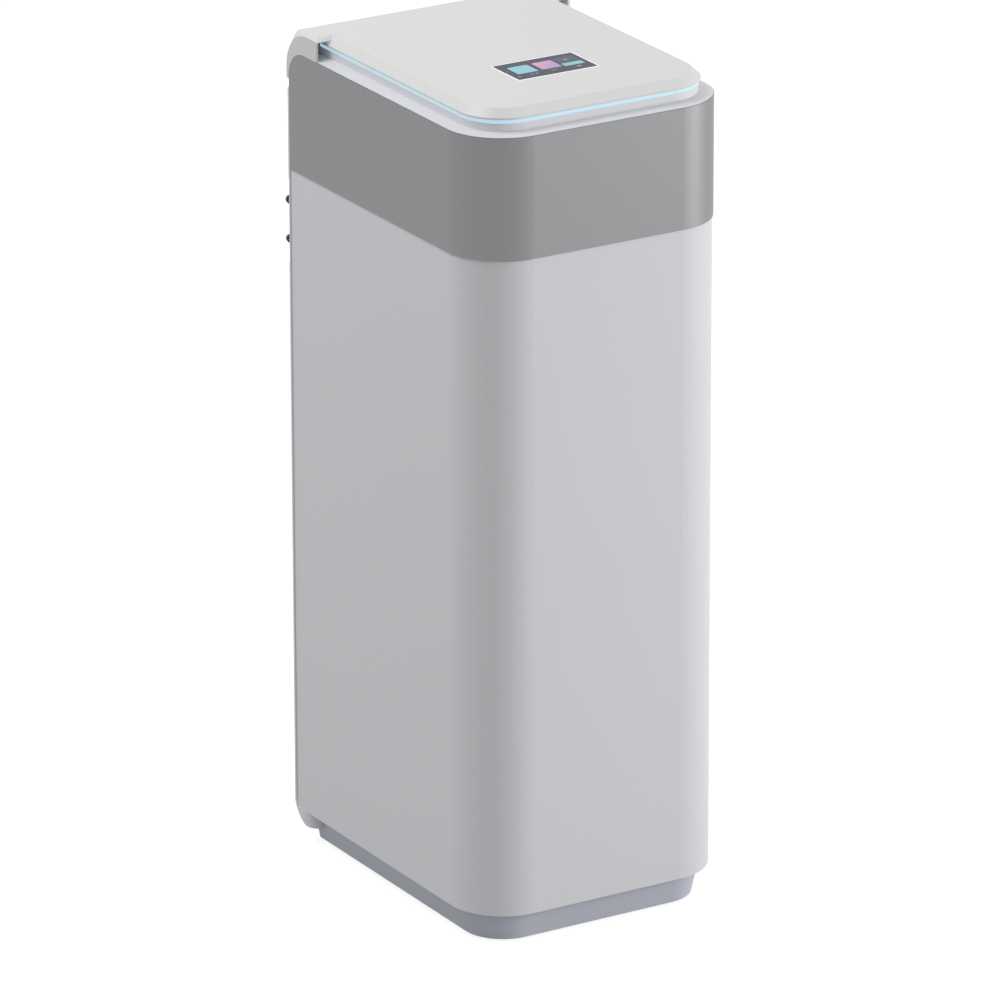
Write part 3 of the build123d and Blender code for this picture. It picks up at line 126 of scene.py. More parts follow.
class SoftenerStage(bpy.types.PropertyGroup):
    """Camera and light"""
    azimuth: bpy.props.FloatProperty(
        name="Azimuth", description="Turn of the camera round the object",
        subtype="ANGLE", unit="ROTATION", default=radians(-31.012985))
    elevation: bpy.props.FloatProperty(
        name="Elevation", description="Height angle of the camera",
        subtype="ANGLE", unit="ROTATION", default=radians(20.107357))
    roll: bpy.props.FloatProperty(
        name="Roll", description="Tilt of the camera",
        subtype="ANGLE", unit="ROTATION", default=radians(-0.134012))
    distance: bpy.props.FloatProperty(
        name="Distance", description="Distance of the camera",
        subtype="DISTANCE", unit="LENGTH", default=10.680787)
    aside: bpy.props.FloatProperty(
        name="Aside", description="Camera moved to its own right",
        subtype="DISTANCE", unit="LENGTH", default=-0.013914)
    raised: bpy.props.FloatProperty(
        name="Raised", description="Camera moved along its own up",
        subtype="DISTANCE", unit="LENGTH", default=0.445328)
    lens: bpy.props.FloatProperty(
        name="Lens", description="Focal length for a 36 mm sensor, in millimetres",
        default=321.053)
    key_power: bpy.props.FloatProperty(
        name="Key light", description="Power of the soft light at the front right, in watts", default=81)
    fill_power: bpy.props.FloatProperty(
        name="Fill light", description="Power of the soft light at the rear left, in watts", default=65)
    sky: bpy.props.FloatProperty(
        name="Ambient", description="Even light from all around", default=0.62)


# Meshes

def quads(rows, columns, wrap_rows, wrap_columns):
    """Corner indices of the faces between neighbouring points of a grid"""
    r = np.arange(rows if wrap_rows else rows - 1)[:, None]
    c = np.arange(columns if wrap_columns else columns - 1)[None, :]
    r2, c2 = (r + 1) % rows, (c + 1) % columns
    corners = [r * columns + c, r2 * columns + c, r2 * columns + c2, r * columns + c2]
    return np.stack([np.broadcast_to(k, (r.size, c.size)) for k in corners], -1).reshape(-1, 4)


def make_piece(name, points, faces, material, body, smooth=True):
    """A mesh object from arrays of points and four-cornered faces, riding on a body"""
    mesh = bpy.data.meshes.new(name)
    mesh.vertices.add(len(points))
    mesh.vertices.foreach_set("co", np.asarray(points, np.float32).ravel())
    mesh.loops.add(faces.size)
    mesh.loops.foreach_set("vertex_index", faces.astype(np.int32).ravel())
    mesh.polygons.add(len(faces))
    mesh.polygons.foreach_set("loop_start", np.arange(0, faces.size, 4, dtype=np.int32))
    mesh.update(calc_edges=True)
    mesh.validate()
    mesh.polygons.foreach_set("use_smooth", np.full(len(mesh.polygons), smooth))
    piece = bpy.data.objects.new(name, mesh)
    bpy.context.scene.collection.objects.link(piece)
    mesh.materials.append(material)
    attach(piece, body)
    return piece


def copies(points, faces, places):
    """The same grid put at several places, as one set of points and faces"""
    places = np.asarray(places, float)
    moved = (points[None] + places[:, None]).reshape(-1, 3)
    shift = (np.arange(len(places)) * len(points))[:, None, None]
    return moved, (faces[None] + shift).reshape(-1, 4)


# Shader groups

def new_group(name, inputs, outputs):
    """An empty node group with float inputs and the named outputs"""
    group = bpy.data.node_groups.new(name, "ShaderNodeTree")
    for label, value in inputs:
        socket = group.interface.new_socket(name=label, in_out="INPUT", socket_type="NodeSocketFloat")
        socket.default_value = value
    for label in outputs:
        group.interface.new_socket(name=label, in_out="OUTPUT", socket_type="NodeSocketFloat")
    group.nodes.new("NodeGroupInput")
    group.nodes.new("NodeGroupOutput")
    return group


def add_node(tree, kind, values=(), **settings):
    """A node with its settings and its unlinked sockets set"""
    made = tree.nodes.new(kind)
    for key, value in settings.items():
        setattr(made, key, value)
    for key, value in dict(values).items():
        made.inputs[key].default_value = value
    return made


def maths(tree, operation, first, second=None, clamp=False):
    """A Math node fed by sockets or numbers, which gives its output socket"""
    made = add_node(tree, "ShaderNodeMath", operation=operation, use_clamp=clamp)
    for index, source in enumerate((first, second)):
        if source is None:
            continue
        if isinstance(source, (int, float)):
            made.inputs[index].default_value = source
        else:
            tree.links.new(source, made.inputs[index])
    return made.outputs[0]


def group_ends(group):
    """The sockets of a group's input node, and its output node's sockets"""
    start = next(n for n in group.nodes if n.bl_idname == "NodeGroupInput")
    end = next(n for n in group.nodes if n.bl_idname == "NodeGroupOutput")
    return start.outputs, end.inputs


def grain_group():
    """Fine spark-eroded grain, with a slow drift in tone over the piece"""
    group = new_group("moulded grain", [("Scale", 900.0), ("Drift scale", 6.0)], ["Grain", "Drift"])
    given, result = group_ends(group)
    place = add_node(group, "ShaderNodeTexCoord")
    fine = add_node(group, "ShaderNodeTexNoise", {"Detail": 3.0, "Roughness": 0.6})
    slow = add_node(group, "ShaderNodeTexNoise", {"Detail": 2.0, "Roughness": 0.45})
    for made, scale in ((fine, "Scale"), (slow, "Drift scale")):
        group.links.new(place.outputs["Object"], made.inputs["Vector"])
        group.links.new(given[scale], made.inputs["Scale"])
    group.links.new(fine.outputs["Fac"], result["Grain"])
    group.links.new(slow.outputs["Fac"], result["Drift"])
    return group


def flake_group():
    """Metal flakes in lacquer: small cells, each with a tone of its own"""
    group = new_group("metal flake", [("Scale", 1600.0)], ["Flake", "Tilt"])
    given, result = group_ends(group)
    place = add_node(group, "ShaderNodeTexCoord")
    cells = add_node(group, "ShaderNodeTexVoronoi", feature="F1")
    group.links.new(place.outputs["Object"], cells.inputs["Vector"])
    group.links.new(given["Scale"], cells.inputs["Scale"])
    split = add_node(group, "ShaderNodeSeparateColor")
    group.links.new(cells.outputs["Color"], split.inputs[0])
    group.links.new(split.outputs[0], result["Flake"])
    group.links.new(split.outputs[1], result["Tilt"])
    return group


def turned_group():
    """Fine lines left by a tool that turned the piece about an axis: noise drawn out round it"""
    group = new_group("turned lines", [("Lines", 900.0), ("Round", 4.0)], ["Line"])
    given, result = group_ends(group)
    place = add_node(group, "ShaderNodeTexCoord")
    split = add_node(group, "ShaderNodeSeparateXYZ")
    group.links.new(place.outputs["Object"], split.inputs[0])
    join = add_node(group, "ShaderNodeCombineXYZ")
    group.links.new(maths(group, "MULTIPLY", split.outputs["X"], given["Round"]), join.inputs["X"])
    group.links.new(maths(group, "MULTIPLY", split.outputs["Y"], given["Lines"]), join.inputs["Y"])
    group.links.new(maths(group, "MULTIPLY", split.outputs["Z"], given["Round"]), join.inputs["Z"])
    noise = add_node(group, "ShaderNodeTexNoise", {"Scale": 1.0, "Detail": 2.0})
    group.links.new(join.outputs[0], noise.inputs["Vector"])
    group.links.new(noise.outputs["Fac"], result["Line"])
    return group


def fibre_group():
    """Rovings wound over a vessel: two sets of slanted bands that cross"""
    group = new_group("wound fibre", [("Bands", 160.0), ("Slant", 0.7)], ["Height", "Tone"])
    given, result = group_ends(group)
    place = add_node(group, "ShaderNodeTexCoord")
    split = add_node(group, "ShaderNodeSeparateXYZ")
    group.links.new(place.outputs["Object"], split.inputs[0])
    side = maths(group, "ADD", split.outputs["X"], split.outputs["Y"])
    lean = maths(group, "MULTIPLY", side, given["Slant"])
    waves = []
    for operation in ("ADD", "SUBTRACT"):
        along = maths(group, operation, split.outputs["Z"], lean)
        waves.append(maths(group, "SINE", maths(group, "MULTIPLY", along, given["Bands"])))
    both = maths(group, "MAXIMUM", waves[0], waves[1])
    group.links.new(both, result["Height"])
    half = maths(group, "MULTIPLY", both, 0.5)
    group.links.new(maths(group, "ADD", half, 0.5, True), result["Tone"])
    return group


# How steeply a tile's mask falls over a metre outwards, and how steeply its blend rises over half of
# its width or depth
TILE_EDGE = -6000.0
TILE_SLOPE = 0.25


def tile_group():
    """Mask of a rounded tile: one inside a rectangle with round corners, found from the distance to
    its edge on Object coordinates. The blend runs from the tile's rear left to its front right."""
    group = new_group(
        "rounded tile",
        [("Centre X", 0.0), ("Centre Y", 0.0), ("Half X", 0.01), ("Half Y", 0.01), ("Corner", 0.002)],
        ["Mask", "Blend"],
    )
    given, result = group_ends(group)
    place = add_node(group, "ShaderNodeTexCoord")
    split = add_node(group, "ShaderNodeSeparateXYZ")
    group.links.new(place.outputs["Object"], split.inputs[0])
    over, shares = [], []
    for letter in ("X", "Y"):
        offset = maths(group, "SUBTRACT", split.outputs[letter], given["Centre " + letter])
        shares.append(maths(group, "DIVIDE", offset, given["Half " + letter]))
        away = maths(group, "ABSOLUTE", offset)
        straight = maths(group, "SUBTRACT", given["Half " + letter], given["Corner"])
        over.append(maths(group, "MAXIMUM", maths(group, "SUBTRACT", away, straight), 0.0))
    squares = maths(group, "ADD", maths(group, "POWER", over[0], 2.0), maths(group, "POWER", over[1], 2.0))
    reach = maths(group, "SUBTRACT", maths(group, "SQRT", squares), given["Corner"])
    scaled = maths(group, "MULTIPLY", reach, TILE_EDGE)
    group.links.new(maths(group, "ADD", scaled, 0.5, True), result["Mask"])
    slope = maths(group, "MULTIPLY", maths(group, "SUBTRACT", shares[0], shares[1]), TILE_SLOPE)
    group.links.new(maths(group, "ADD", slope, 0.5, True), result["Blend"])
    return group


# Materials

GROUPS = {}
MATERIALS = {}

# Depths of the relief in the finishes
GRAIN_DEPTH = 0.06 * MM
TOOL_LINE_DEPTH = 0.05 * MM
FLAKE_DEPTH = 0.02 * MM
ROVING_DEPTH = 0.4 * MM
BEAD_DEPTH = 0.4 * MM


def start_material(name):
    """A new material with its shader, and its node tree"""
    material = bpy.data.materials.new(name)
    material.use_nodes = True
    tree = material.node_tree
    shader = next(n for n in tree.nodes if n.bl_idname == "ShaderNodeBsdfPrincipled")
    return material, tree, shader


def use_group(tree, name, **values):
    """A placed shader group with its own values"""
    placed = tree.nodes.new("ShaderNodeGroup")
    placed.node_tree = GROUPS[name]
    for key, value in values.items():
        placed.inputs[key.replace("_", " ")].default_value = value
    return placed


def tone_mix(tree, mask, dark, light, target):
    """A colour between two tones, led by a mask, into a shader's socket"""
    ramp = add_node(tree, "ShaderNodeMix", data_type="RGBA")
    ramp.inputs[6].default_value = (*dark, 1)
    ramp.inputs[7].default_value = (*light, 1)
    tree.links.new(mask, ramp.inputs[0])
    tree.links.new(ramp.outputs[2], target)


def rough_range(tree, mask, low, high, shader):
    """Roughness between two values, led by a mask"""
    span = add_node(tree, "ShaderNodeMapRange", {"To Min": low, "To Max": high})
    tree.links.new(mask, span.inputs["Value"])
    tree.links.new(span.outputs[0], shader.inputs["Roughness"])


def relief(tree, mask, strength, distance, shader):
    """A bump from a mask, with its strength and the depth of its relief"""
    bump = add_node(tree, "ShaderNodeBump", {"Strength": strength, "Distance": distance})
    tree.links.new(mask, bump.inputs["Height"])
    tree.links.new(bump.outputs[0], shader.inputs["Normal"])


def moulded(name, colour, low, high, grain=0.25, scale=900.0, spread=0.03, drift=6.0, glow=0.0):
    """Moulded plastic, rubber or ceramic: a grain in the surface, a slow drift in tone, and, on the
    display's outline, a faint painted glow that makes the white trim brighter than the lamps light it"""
    material, tree, shader = start_material(name)
    skin = use_group(tree, "grain", Scale=scale, Drift_scale=drift)
    dark = [c * (1 - spread) for c in colour]
    light = [min(1.0, c * (1 + spread)) for c in colour]
    tone_mix(tree, skin.outputs["Drift"], dark, light, shader.inputs["Base Color"])
    rough_range(tree, skin.outputs["Drift"], low, high, shader)
    relief(tree, skin.outputs["Grain"], grain, GRAIN_DEPTH, shader)
    # Emission in the piece's own colour: on the trim this is painted light, a glow on a piece that is no
    # lamp
    shader.inputs["Emission Color"].default_value = (*colour, 1)
    shader.inputs["Emission Strength"].default_value = glow
    MATERIALS[name] = material


def metal(name, colour, low, high, lines=900.0):
    """Machined metal with the tool's fine lines"""
    material, tree, shader = start_material(name)
    skin = use_group(tree, "turned", Lines=lines)
    dark = [c * 0.9 for c in colour]
    tone_mix(tree, skin.outputs["Line"], dark, colour, shader.inputs["Base Color"])
    rough_range(tree, skin.outputs["Line"], low, high, shader)
    relief(tree, skin.outputs["Line"], 0.2, TOOL_LINE_DEPTH, shader)
    shader.inputs["Metallic"].default_value = 1.0
    MATERIALS[name] = material


def silver_lacquer(name, colour):
    """Satin silver lacquer: fine flakes, each with a tone and a gloss of its own"""
    material, tree, shader = start_material(name)
    skin = use_group(tree, "flake", Scale=1500.0)
    dark = [c * 0.97 for c in colour]
    light = [min(1.0, c * 1.03) for c in colour]
    tone_mix(tree, skin.outputs["Flake"], dark, light, shader.inputs["Base Color"])
    rough_range(tree, skin.outputs["Tilt"], 0.4, 0.46, shader)
    relief(tree, skin.outputs["Tilt"], 0.03, FLAKE_DEPTH, shader)
    shader.inputs["Metallic"].default_value = 0.7
    MATERIALS[name] = material


def light_guide(name, colour, power):
    """Frosted light guide: it glows evenly, a little weaker where the frosting is thick"""
    material, tree, shader = start_material(name)
    skin = use_group(tree, "grain", Scale=700.0, Drift_scale=14.0)
    dark = [c * 0.94 for c in colour]
    tone_mix(tree, skin.outputs["Drift"], dark, colour, shader.inputs["Emission Color"])
    shader.inputs["Base Color"].default_value = (0.22, 0.3, 0.34, 1)
    shader.inputs["Emission Strength"].default_value = power
    rough_range(tree, skin.outputs["Grain"], 0.4, 0.55, shader)
    MATERIALS[name] = material


def wound_tank(name, colour):
    """Wound composite shell of the pressure tank"""
    material, tree, shader = start_material(name)
    skin = use_group(tree, "fibre")
    dark = [c * 0.72 for c in colour]
    light = [c * 1.25 for c in colour]
    tone_mix(tree, skin.outputs["Tone"], dark, light, shader.inputs["Base Color"])
    rough_range(tree, skin.outputs["Tone"], 0.32, 0.45, shader)
    relief(tree, skin.outputs["Height"], 0.35, ROVING_DEPTH, shader)
    MATERIALS[name] = material


def bead_bed(name, colour):
    """Bed of small resin beads"""
    material, tree, shader = start_material(name)
    skin = use_group(tree, "flake", Scale=1100.0)
    dark = [c * 0.55 for c in colour]
    tone_mix(tree, skin.outputs["Flake"], dark, colour, shader.inputs["Base Color"])
    rough_range(tree, skin.outputs["Tilt"], 0.25, 0.5, shader)
    relief(tree, skin.outputs["Tilt"], 0.5, BEAD_DEPTH, shader)
    MATERIALS[name] = material


# Fields and small blocks of the display: left, right, low and high as shares of the window, and the
# colours at the rear left and front right of each
DISPLAY_TILES = (
    (0.10, 0.356, 0.318, 0.764, (0.26, 0.72, 0.76), (0.36, 0.60, 0.80)),
    (0.415, 0.66, 0.333, 0.78, (0.84, 0.42, 0.54), (0.42, 0.34, 0.74)),
    (0.69, 0.943, 0.303, 0.473, (0.24, 0.66, 0.70), (0.32, 0.64, 0.70)),
    (0.70, 0.95, 0.53, 0.82, (0.06, 0.08, 0.12), (0.05, 0.06, 0.10)),
    (0.79, 0.84, 0.64, 0.70, (0.22, 0.34, 0.42), (0.24, 0.34, 0.42)),
    (0.80, 0.85, 0.15, 0.22, (0.34, 0.32, 0.42), (0.38, 0.36, 0.46)),
    (0.05, 0.08, 0.14, 0.19, (0.16, 0.34, 0.40), (0.16, 0.34, 0.40)),
    (0.22, 0.25, 0.17, 0.23, (0.20, 0.24, 0.32), (0.20, 0.24, 0.32)),
    (0.28, 0.31, 0.17, 0.23, (0.22, 0.28, 0.34), (0.22, 0.28, 0.34)),
    (0.48, 0.55, 0.18, 0.23, (0.20, 0.12, 0.26), (0.26, 0.16, 0.32)),
    (0.03, 0.05, 0.52, 0.57, (0.30, 0.18, 0.26), (0.30, 0.18, 0.26)),
)
TILE_CORNER_SHARE = 0.12
WINDOW_CORNER = 1.2 * MM


def laid_over(tree, mask, below, above):
    """One colour over another where a mask is one"""
    layer = add_node(tree, "ShaderNodeMix", data_type="RGBA")
    tree.links.new(mask, layer.inputs[0])
    for index, source in ((6, below), (7, above)):
        if isinstance(source, tuple):
            layer.inputs[index].default_value = source
        else:
            tree.links.new(source, layer.inputs[index])
    return layer.outputs[2]


def display_panel(name, props):
    """Dark panel with lit tiles, each a rounded mask with a gradient of its own"""
    material, tree, shader = start_material(name)
    glow = (*props.glass, 1)
    for left, right, low, high, first, last in DISPLAY_TILES:
        wide = (right - left) * LENS_HALF.x
        tall = (high - low) * LENS_HALF.y
        mask = use_group(tree, "tile", Centre_X=LENS_MIDDLE.x + (left + right - 1) * LENS_HALF.x,
                         Centre_Y=LENS_MIDDLE.y + (low + high - 1) * LENS_HALF.y,
                         Half_X=wide, Half_Y=tall, Corner=min(wide, tall) * TILE_CORNER_SHARE)
        shade = add_node(tree, "ShaderNodeMix", {6: (*first, 1), 7: (*last, 1)}, data_type="RGBA")
        tree.links.new(mask.outputs["Blend"], shade.inputs[0])
        glow = laid_over(tree, mask.outputs["Mask"], glow, shade.outputs[2])
    window = use_group(tree, "tile", Centre_X=LENS_MIDDLE.x, Centre_Y=LENS_MIDDLE.y,
                       Half_X=LENS_HALF.x, Half_Y=LENS_HALF.y, Corner=WINDOW_CORNER)
    glow = laid_over(tree, window.outputs["Mask"], (*props.glass, 1), glow)
    tree.links.new(glow, shader.inputs["Emission Color"])
    shader.inputs["Emission Strength"].default_value = props.brightness
    shader.inputs["Base Color"].default_value = (0.015, 0.017, 0.024, 1)
    shader.inputs["IOR"].default_value = 1.2
    smear = use_group(tree, "grain", Scale=60.0, Drift_scale=20.0)
    rough_range(tree, smear.outputs["Drift"], 0.06, 0.14, shader)
    MATERIALS[name] = material


def make_materials(scene):
    """All groups and materials, by the record's slot names"""
    GROUPS.update(grain=grain_group(), flake=flake_group(), turned=turned_group(),
                  fibre=fibre_group(), tile=tile_group())
    look = scene.softener_finishes
    moulded("white_plastic", look.shell, 0.42, 0.5, grain=0.12, scale=1400.0, spread=0.008)
    moulded("lid_white", look.lid, 0.42, 0.48, grain=0.05, scale=1500.0, spread=0.006)
    # The outline's glow is painted light: it brightens the white trim beyond what the lamps give
    moulded("trim_white", (0.93, 0.93, 0.93), 0.3, 0.4, grain=0.03, scale=1500.0, spread=0.005, glow=0.25)
    silver_lacquer("silver_band", look.band)
    # The plinth's darker blue-grey is mostly painted shade from the body's overhang
    moulded("plinth_grey", look.plinth, 0.5, 0.6, grain=0.3, scale=1000.0, spread=0.03)
    light_guide("cool_light", look.glow, look.glow_power)
    display_panel("display_dark", scene.softener_display)
    moulded("rubber_black", (0.03, 0.03, 0.032), 0.7, 0.85, grain=0.5, scale=700.0, spread=0.15)
    moulded("black_plastic", (0.022, 0.022, 0.025), 0.38, 0.52, grain=0.35, scale=1100.0, spread=0.12)
    moulded("inner_white", (0.6, 0.61, 0.62), 0.5, 0.6, grain=0.25, scale=1000.0, spread=0.03)
    wound_tank("tank_blue", (0.03, 0.06, 0.12))
    moulded("boot_black", (0.025, 0.025, 0.028), 0.5, 0.62, grain=0.4, scale=900.0, spread=0.12)
    bead_bed("resin_amber", (0.5, 0.22, 0.04))
    moulded("pipe_white", (0.66, 0.66, 0.64), 0.35, 0.45, grain=0.1, scale=1200.0, spread=0.03)
    moulded("strainer_grey", (0.16, 0.18, 0.2), 0.45, 0.55, grain=0.3, scale=900.0, spread=0.08)
    moulded("ceramic_white", (0.72, 0.7, 0.64), 0.12, 0.2, grain=0.08, scale=1800.0, spread=0.03)
    moulded("gear_nylon", (0.68, 0.64, 0.54), 0.35, 0.45, grain=0.15, scale=1200.0, spread=0.03)
    metal("bright_steel", (0.56, 0.57, 0.58), 0.22, 0.36)
    metal("stub_brass", (0.60, 0.42, 0.18), 0.24, 0.36, lines=1400.0)
    moulded("board_green", (0.02, 0.12, 0.05), 0.3, 0.42, grain=0.1, scale=1500.0, spread=0.1)
    moulded("float_red", (0.5, 0.05, 0.03), 0.4, 0.5, grain=0.2, scale=1000.0, spread=0.05)
    moulded("hose_black", (0.03, 0.03, 0.033), 0.4, 0.55, grain=0.2, scale=1000.0, spread=0.12)


# Operators

class SOFTENER_OT_finishes(bpy.types.Operator):
    """Give every solid its procedural finish"""
    bl_idname = "softener.finishes"
    bl_label = "Finishes"

    def execute(self, context):
        make_materials(context.scene)
        wanted = {s["node"]: s["material_slot"] for s in frame["record"]["subparts"]}
        for name, thing in frame["nodes"].items():
            material = MATERIALS[wanted[name]]
            if not thing.material_slots:
                raise RuntimeError(name + " has no material slot")
            for place in thing.material_slots:
                place.material = material
        return {"FINISHED"}


# Wall of a stub, chamfer at its ends, points along and round it, and how many of those along are
# passed over in the plain bore
STUB_WALL = 4.1 * MM
THREAD_CHAMFER = 1.5 * MM
THREAD_RINGS = 480
THREAD_SIDES = 72
BORE_STEP = 40


class SOFTENER_OT_pipe_threads(bpy.types.Operator):
    """Cut the pipe threads on the inlet and outlet stubs"""
    bl_idname = "softener.pipe_threads"
    bl_label = "Pipe threads"

    def execute(self, context):
        sizes = context.scene.softener_fittings
        for node in ("inlet_stub", "outlet_stub"):
            low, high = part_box(node)
            middle = (low + high) / 2
            points, faces = thread_grid(middle.x, middle.z, low.y, high.y, (high.x - low.x) / 2, sizes)
            piece = make_piece(node + "_thread", points, faces, MATERIALS["stub_brass"],
                               "cabinet")
            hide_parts(node)
        return {"FINISHED"}


def thread_grid(x, z, start, end, radius, sizes):
    """A threaded pipe along Y: radius = crest - depth x (1 + cos(turns)) / 2, where turns counts one
    for each pitch along the axis, less one for each turn round it. The crest falls off over a chamfer
    at both ends. The profile runs out along the thread and back down the bore."""
    bore = radius - STUB_WALL
    outer = np.linspace(start, end, THREAD_RINGS)
    along = np.concatenate([outer, outer[::-BORE_STEP]])
    angle = np.linspace(0, TURN, THREAD_SIDES, endpoint=False)
    outside = np.arange(len(along)) < len(outer)
    turns = along[:, None] / sizes.pitch - angle[None, :] / TURN
    depth = sizes.thread_depth * (0.5 + 0.5 * np.cos(TURN * turns))
    ends = np.minimum(along - start, end - along)
    crest = radius - np.clip(THREAD_CHAMFER - ends, 0, None)
    shape = np.where(outside[:, None], np.minimum(radius - depth, crest[:, None]), bore)
    points = np.stack([
        x + shape * np.cos(angle),
        np.broadcast_to(along[:, None], shape.shape),
        z - shape * np.sin(angle),
    ], -1)
    return points.reshape(-1, 3), quads(len(along), len(angle), True, True)[:, ::-1]


# A screw head in shares of its own radius and height, and the points out from its middle and round it
HEAD_FALL = 0.55
CROSS_HALF_WIDTH = 0.12
CROSS_REACH = 0.62
CROSS_RUN_OUT = 0.12
CROSS_DEPTH = 0.75
HEAD_RINGS = 14
HEAD_SIDES = 40


def screw_grid(radius, height):
    """A pan head whose axis is +Y: its height falls off as the fourth power of the radius, and a cross
    is sunk in its middle where |u| or |v| is small, and runs out towards the rim"""
    share = np.concatenate([np.linspace(0.02, 1, HEAD_RINGS), [1.0]])
    angle = np.linspace(0, TURN, HEAD_SIDES, endpoint=False)
    u = share[:, None] * np.cos(angle)
    v = share[:, None] * np.sin(angle)
    dome = height * (1 - HEAD_FALL * share[:, None] ** 4) * np.ones_like(u)
    arm = np.minimum(abs(u), abs(v)) < CROSS_HALF_WIDTH
    inside = np.clip((CROSS_REACH - share[:, None]) / CROSS_RUN_OUT, 0, 1)
    dome = dome - height * CROSS_DEPTH * arm * inside
    dome[-1] = 0
    points = np.stack([radius * u, dome, radius * v], -1)
    return points.reshape(-1, 3), quads(len(share), len(angle), False, True)


def facing(points, direction):
    """Points whose axis is +Y turned so that it runs along another main direction"""
    x, y, z = points.T
    turned = {
        "+y": (x, y, z),
        "-y": (-x, -y, z),
        "+z": (x, -z, y),
        "-z": (x, z, -y),
        "+x": (y, -x, z),
        "-x": (-y, x, z),
    }
    return np.stack(turned[direction], -1)


def add_screws(context, name, places, direction, body, share=1.0):
    """Like screws at several places, their heads turned one way, at a share of the full size"""
    sizes = context.scene.softener_fittings
    points, faces = screw_grid(sizes.screw_radius * share, sizes.screw_height * share)
    points, faces = copies(facing(points, direction), faces, places)
    return make_piece(name, points, faces, MATERIALS["bright_steel"], body)


# Places of the screws: insets from the edges of a piece, heights on the rear cover as shares of its
# top, places in the lining along X and Y, and how far each kind of head is sunk in its piece
COVER_INSET = 12 * MM
COVER_HEIGHTS = (0.14, 0.34, 0.54, 0.72, 0.95)
COVER_SINK = 0.2 * MM
LINING_SIDE = 135 * MM
LINING_ROWS = (-187.5 * MM, -54.5 * MM, 95.5 * MM)
LINING_RISE = 0.6 * MM
VALVE_INSET = 9 * MM
VALVE_SINK = 0.4 * MM
SOCKET_SIDE = 8 * MM
SOCKET_SINK = 0.3 * MM


class SOFTENER_OT_screws(bpy.types.Operator):
    """Put the screws in the rear cover, the lining, the valve's cover and the power inlet"""
    bl_idname = "softener.screws"
    bl_label = "Screws"

    def execute(self, context):
        low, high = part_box("rear_cover")
        places = [(x, high.y - COVER_SINK, high.z * share) for share in COVER_HEIGHTS
                  for x in (low.x + COVER_INSET, high.x - COVER_INSET)]
        add_screws(context, "cover_screws", places, "+y", "cabinet", 0.8)

        low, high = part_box("lid_lining")
        places = [(x, y, low.z + LINING_RISE) for x in (-LINING_SIDE, LINING_SIDE) for y in LINING_ROWS]
        add_screws(context, "lining_screws", places, "-z", "lid", 0.9)

        low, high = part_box("valve_cover")
        places = [(x, y, high.z - VALVE_SINK) for x in (low.x + VALVE_INSET, high.x - VALVE_INSET)
                  for y in (low.y + VALVE_INSET, high.y - VALVE_INSET)]
        add_screws(context, "valve_screws", places, "+z", "cabinet", 0.8)

        low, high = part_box("power_socket")
        middle = (low + high) / 2
        places = [(middle.x + side * SOCKET_SIDE, high.y - SOCKET_SINK, middle.z) for side in (-1, 1)]
        add_screws(context, "socket_screws", places, "+y", "cabinet", 0.35)
        return {"FINISHED"}


def rounded_path(half_x, half_y, corner, steps):
    """Points and outward directions along a rounded rectangle: each corner is a quarter circle,
    and each side is the straight line between two of them"""
    quarter = np.linspace(0, TURN / 4, steps)
    turns = np.arange(4)[:, None] * TURN / 4 + quarter[None]
    signs = np.array([(1, 1), (-1, 1), (-1, -1), (1, -1)], float)
    middles = signs * np.array([half_x - corner, half_y - corner])
    outward = np.stack([np.cos(turns), np.sin(turns)], -1)
    points = middles[:, None] + corner * outward
    return points.reshape(-1, 2), outward.reshape(-1, 2)


def carried(path, outward, profile):
    """A closed profile of (offset, height) pairs carried along a flat closed path: every point is
    the path's point moved outwards by the offset and up by the height"""
    offsets, heights = np.asarray(profile, float).T
    flat = path[:, None] + outward[:, None] * offsets[None, :, None]
    tall = np.broadcast_to(heights, flat.shape[:2])[..., None]
    points = np.concatenate([flat, tall], -1).reshape(-1, 3)
    return points, quads(len(path), len(offsets), True, True)


# The trim's section: gap to the glass, foot below the glass, bevel, where its top starts, and how far
# that top lies below the glass. Then the round of its corners, and the points on each of them.
TRIM_GAP = 0.15 * MM
TRIM_WALL = 0.9 * MM
TRIM_BEVEL_WIDTH = 0.2 * MM
TRIM_BEVEL_DROP = 0.15 * MM
TRIM_INNER_EDGE = 0.3 * MM
TRIM_SINK = 0.02 * MM
TRIM_CORNER = 1.6 * MM
TRIM_STEPS = 9


class SOFTENER_OT_display_trim(bpy.types.Operator):
    """Lay the bright trim line round the display window"""
    bl_idname = "softener.display_trim"
    bl_label = "Display trim"

    def execute(self, context):
        width = context.scene.softener_display.outline
        path, outward = rounded_path(LENS_HALF.x, LENS_HALF.y, TRIM_CORNER, TRIM_STEPS)
        top = LENS_HIGH.z - TRIM_SINK
        foot = LENS_HIGH.z - TRIM_WALL
        shoulder = top - TRIM_BEVEL_DROP
        profile = [(TRIM_GAP, foot), (width, foot), (width, shoulder),
                   (width - TRIM_BEVEL_WIDTH, top), (TRIM_INNER_EDGE, top), (TRIM_GAP, shoulder)]
        points, faces = carried(path, outward, profile)
        points[:, :2] += (LENS_MIDDLE.x, LENS_MIDDLE.y)
        make_piece("display_trim", points, faces, MATERIALS["trim_white"], "lid", smooth=False)
        return {"FINISHED"}


# A hose clip: its ear's height in walls and its arc in radians, the play round the hose, the points
# round it, and its section as (share of the wall, share of the width)
CLIP_EAR = 2.4
CLIP_EAR_ARC = 0.2
CLIP_PLAY = 0.05 * MM
CLIP_SIDES = 120
CLIP_SECTION = ((0.0, -0.5), (0.15, -0.5), (1.0, -0.42), (1.0, 0.42), (0.15, 0.5), (0.0, 0.5))


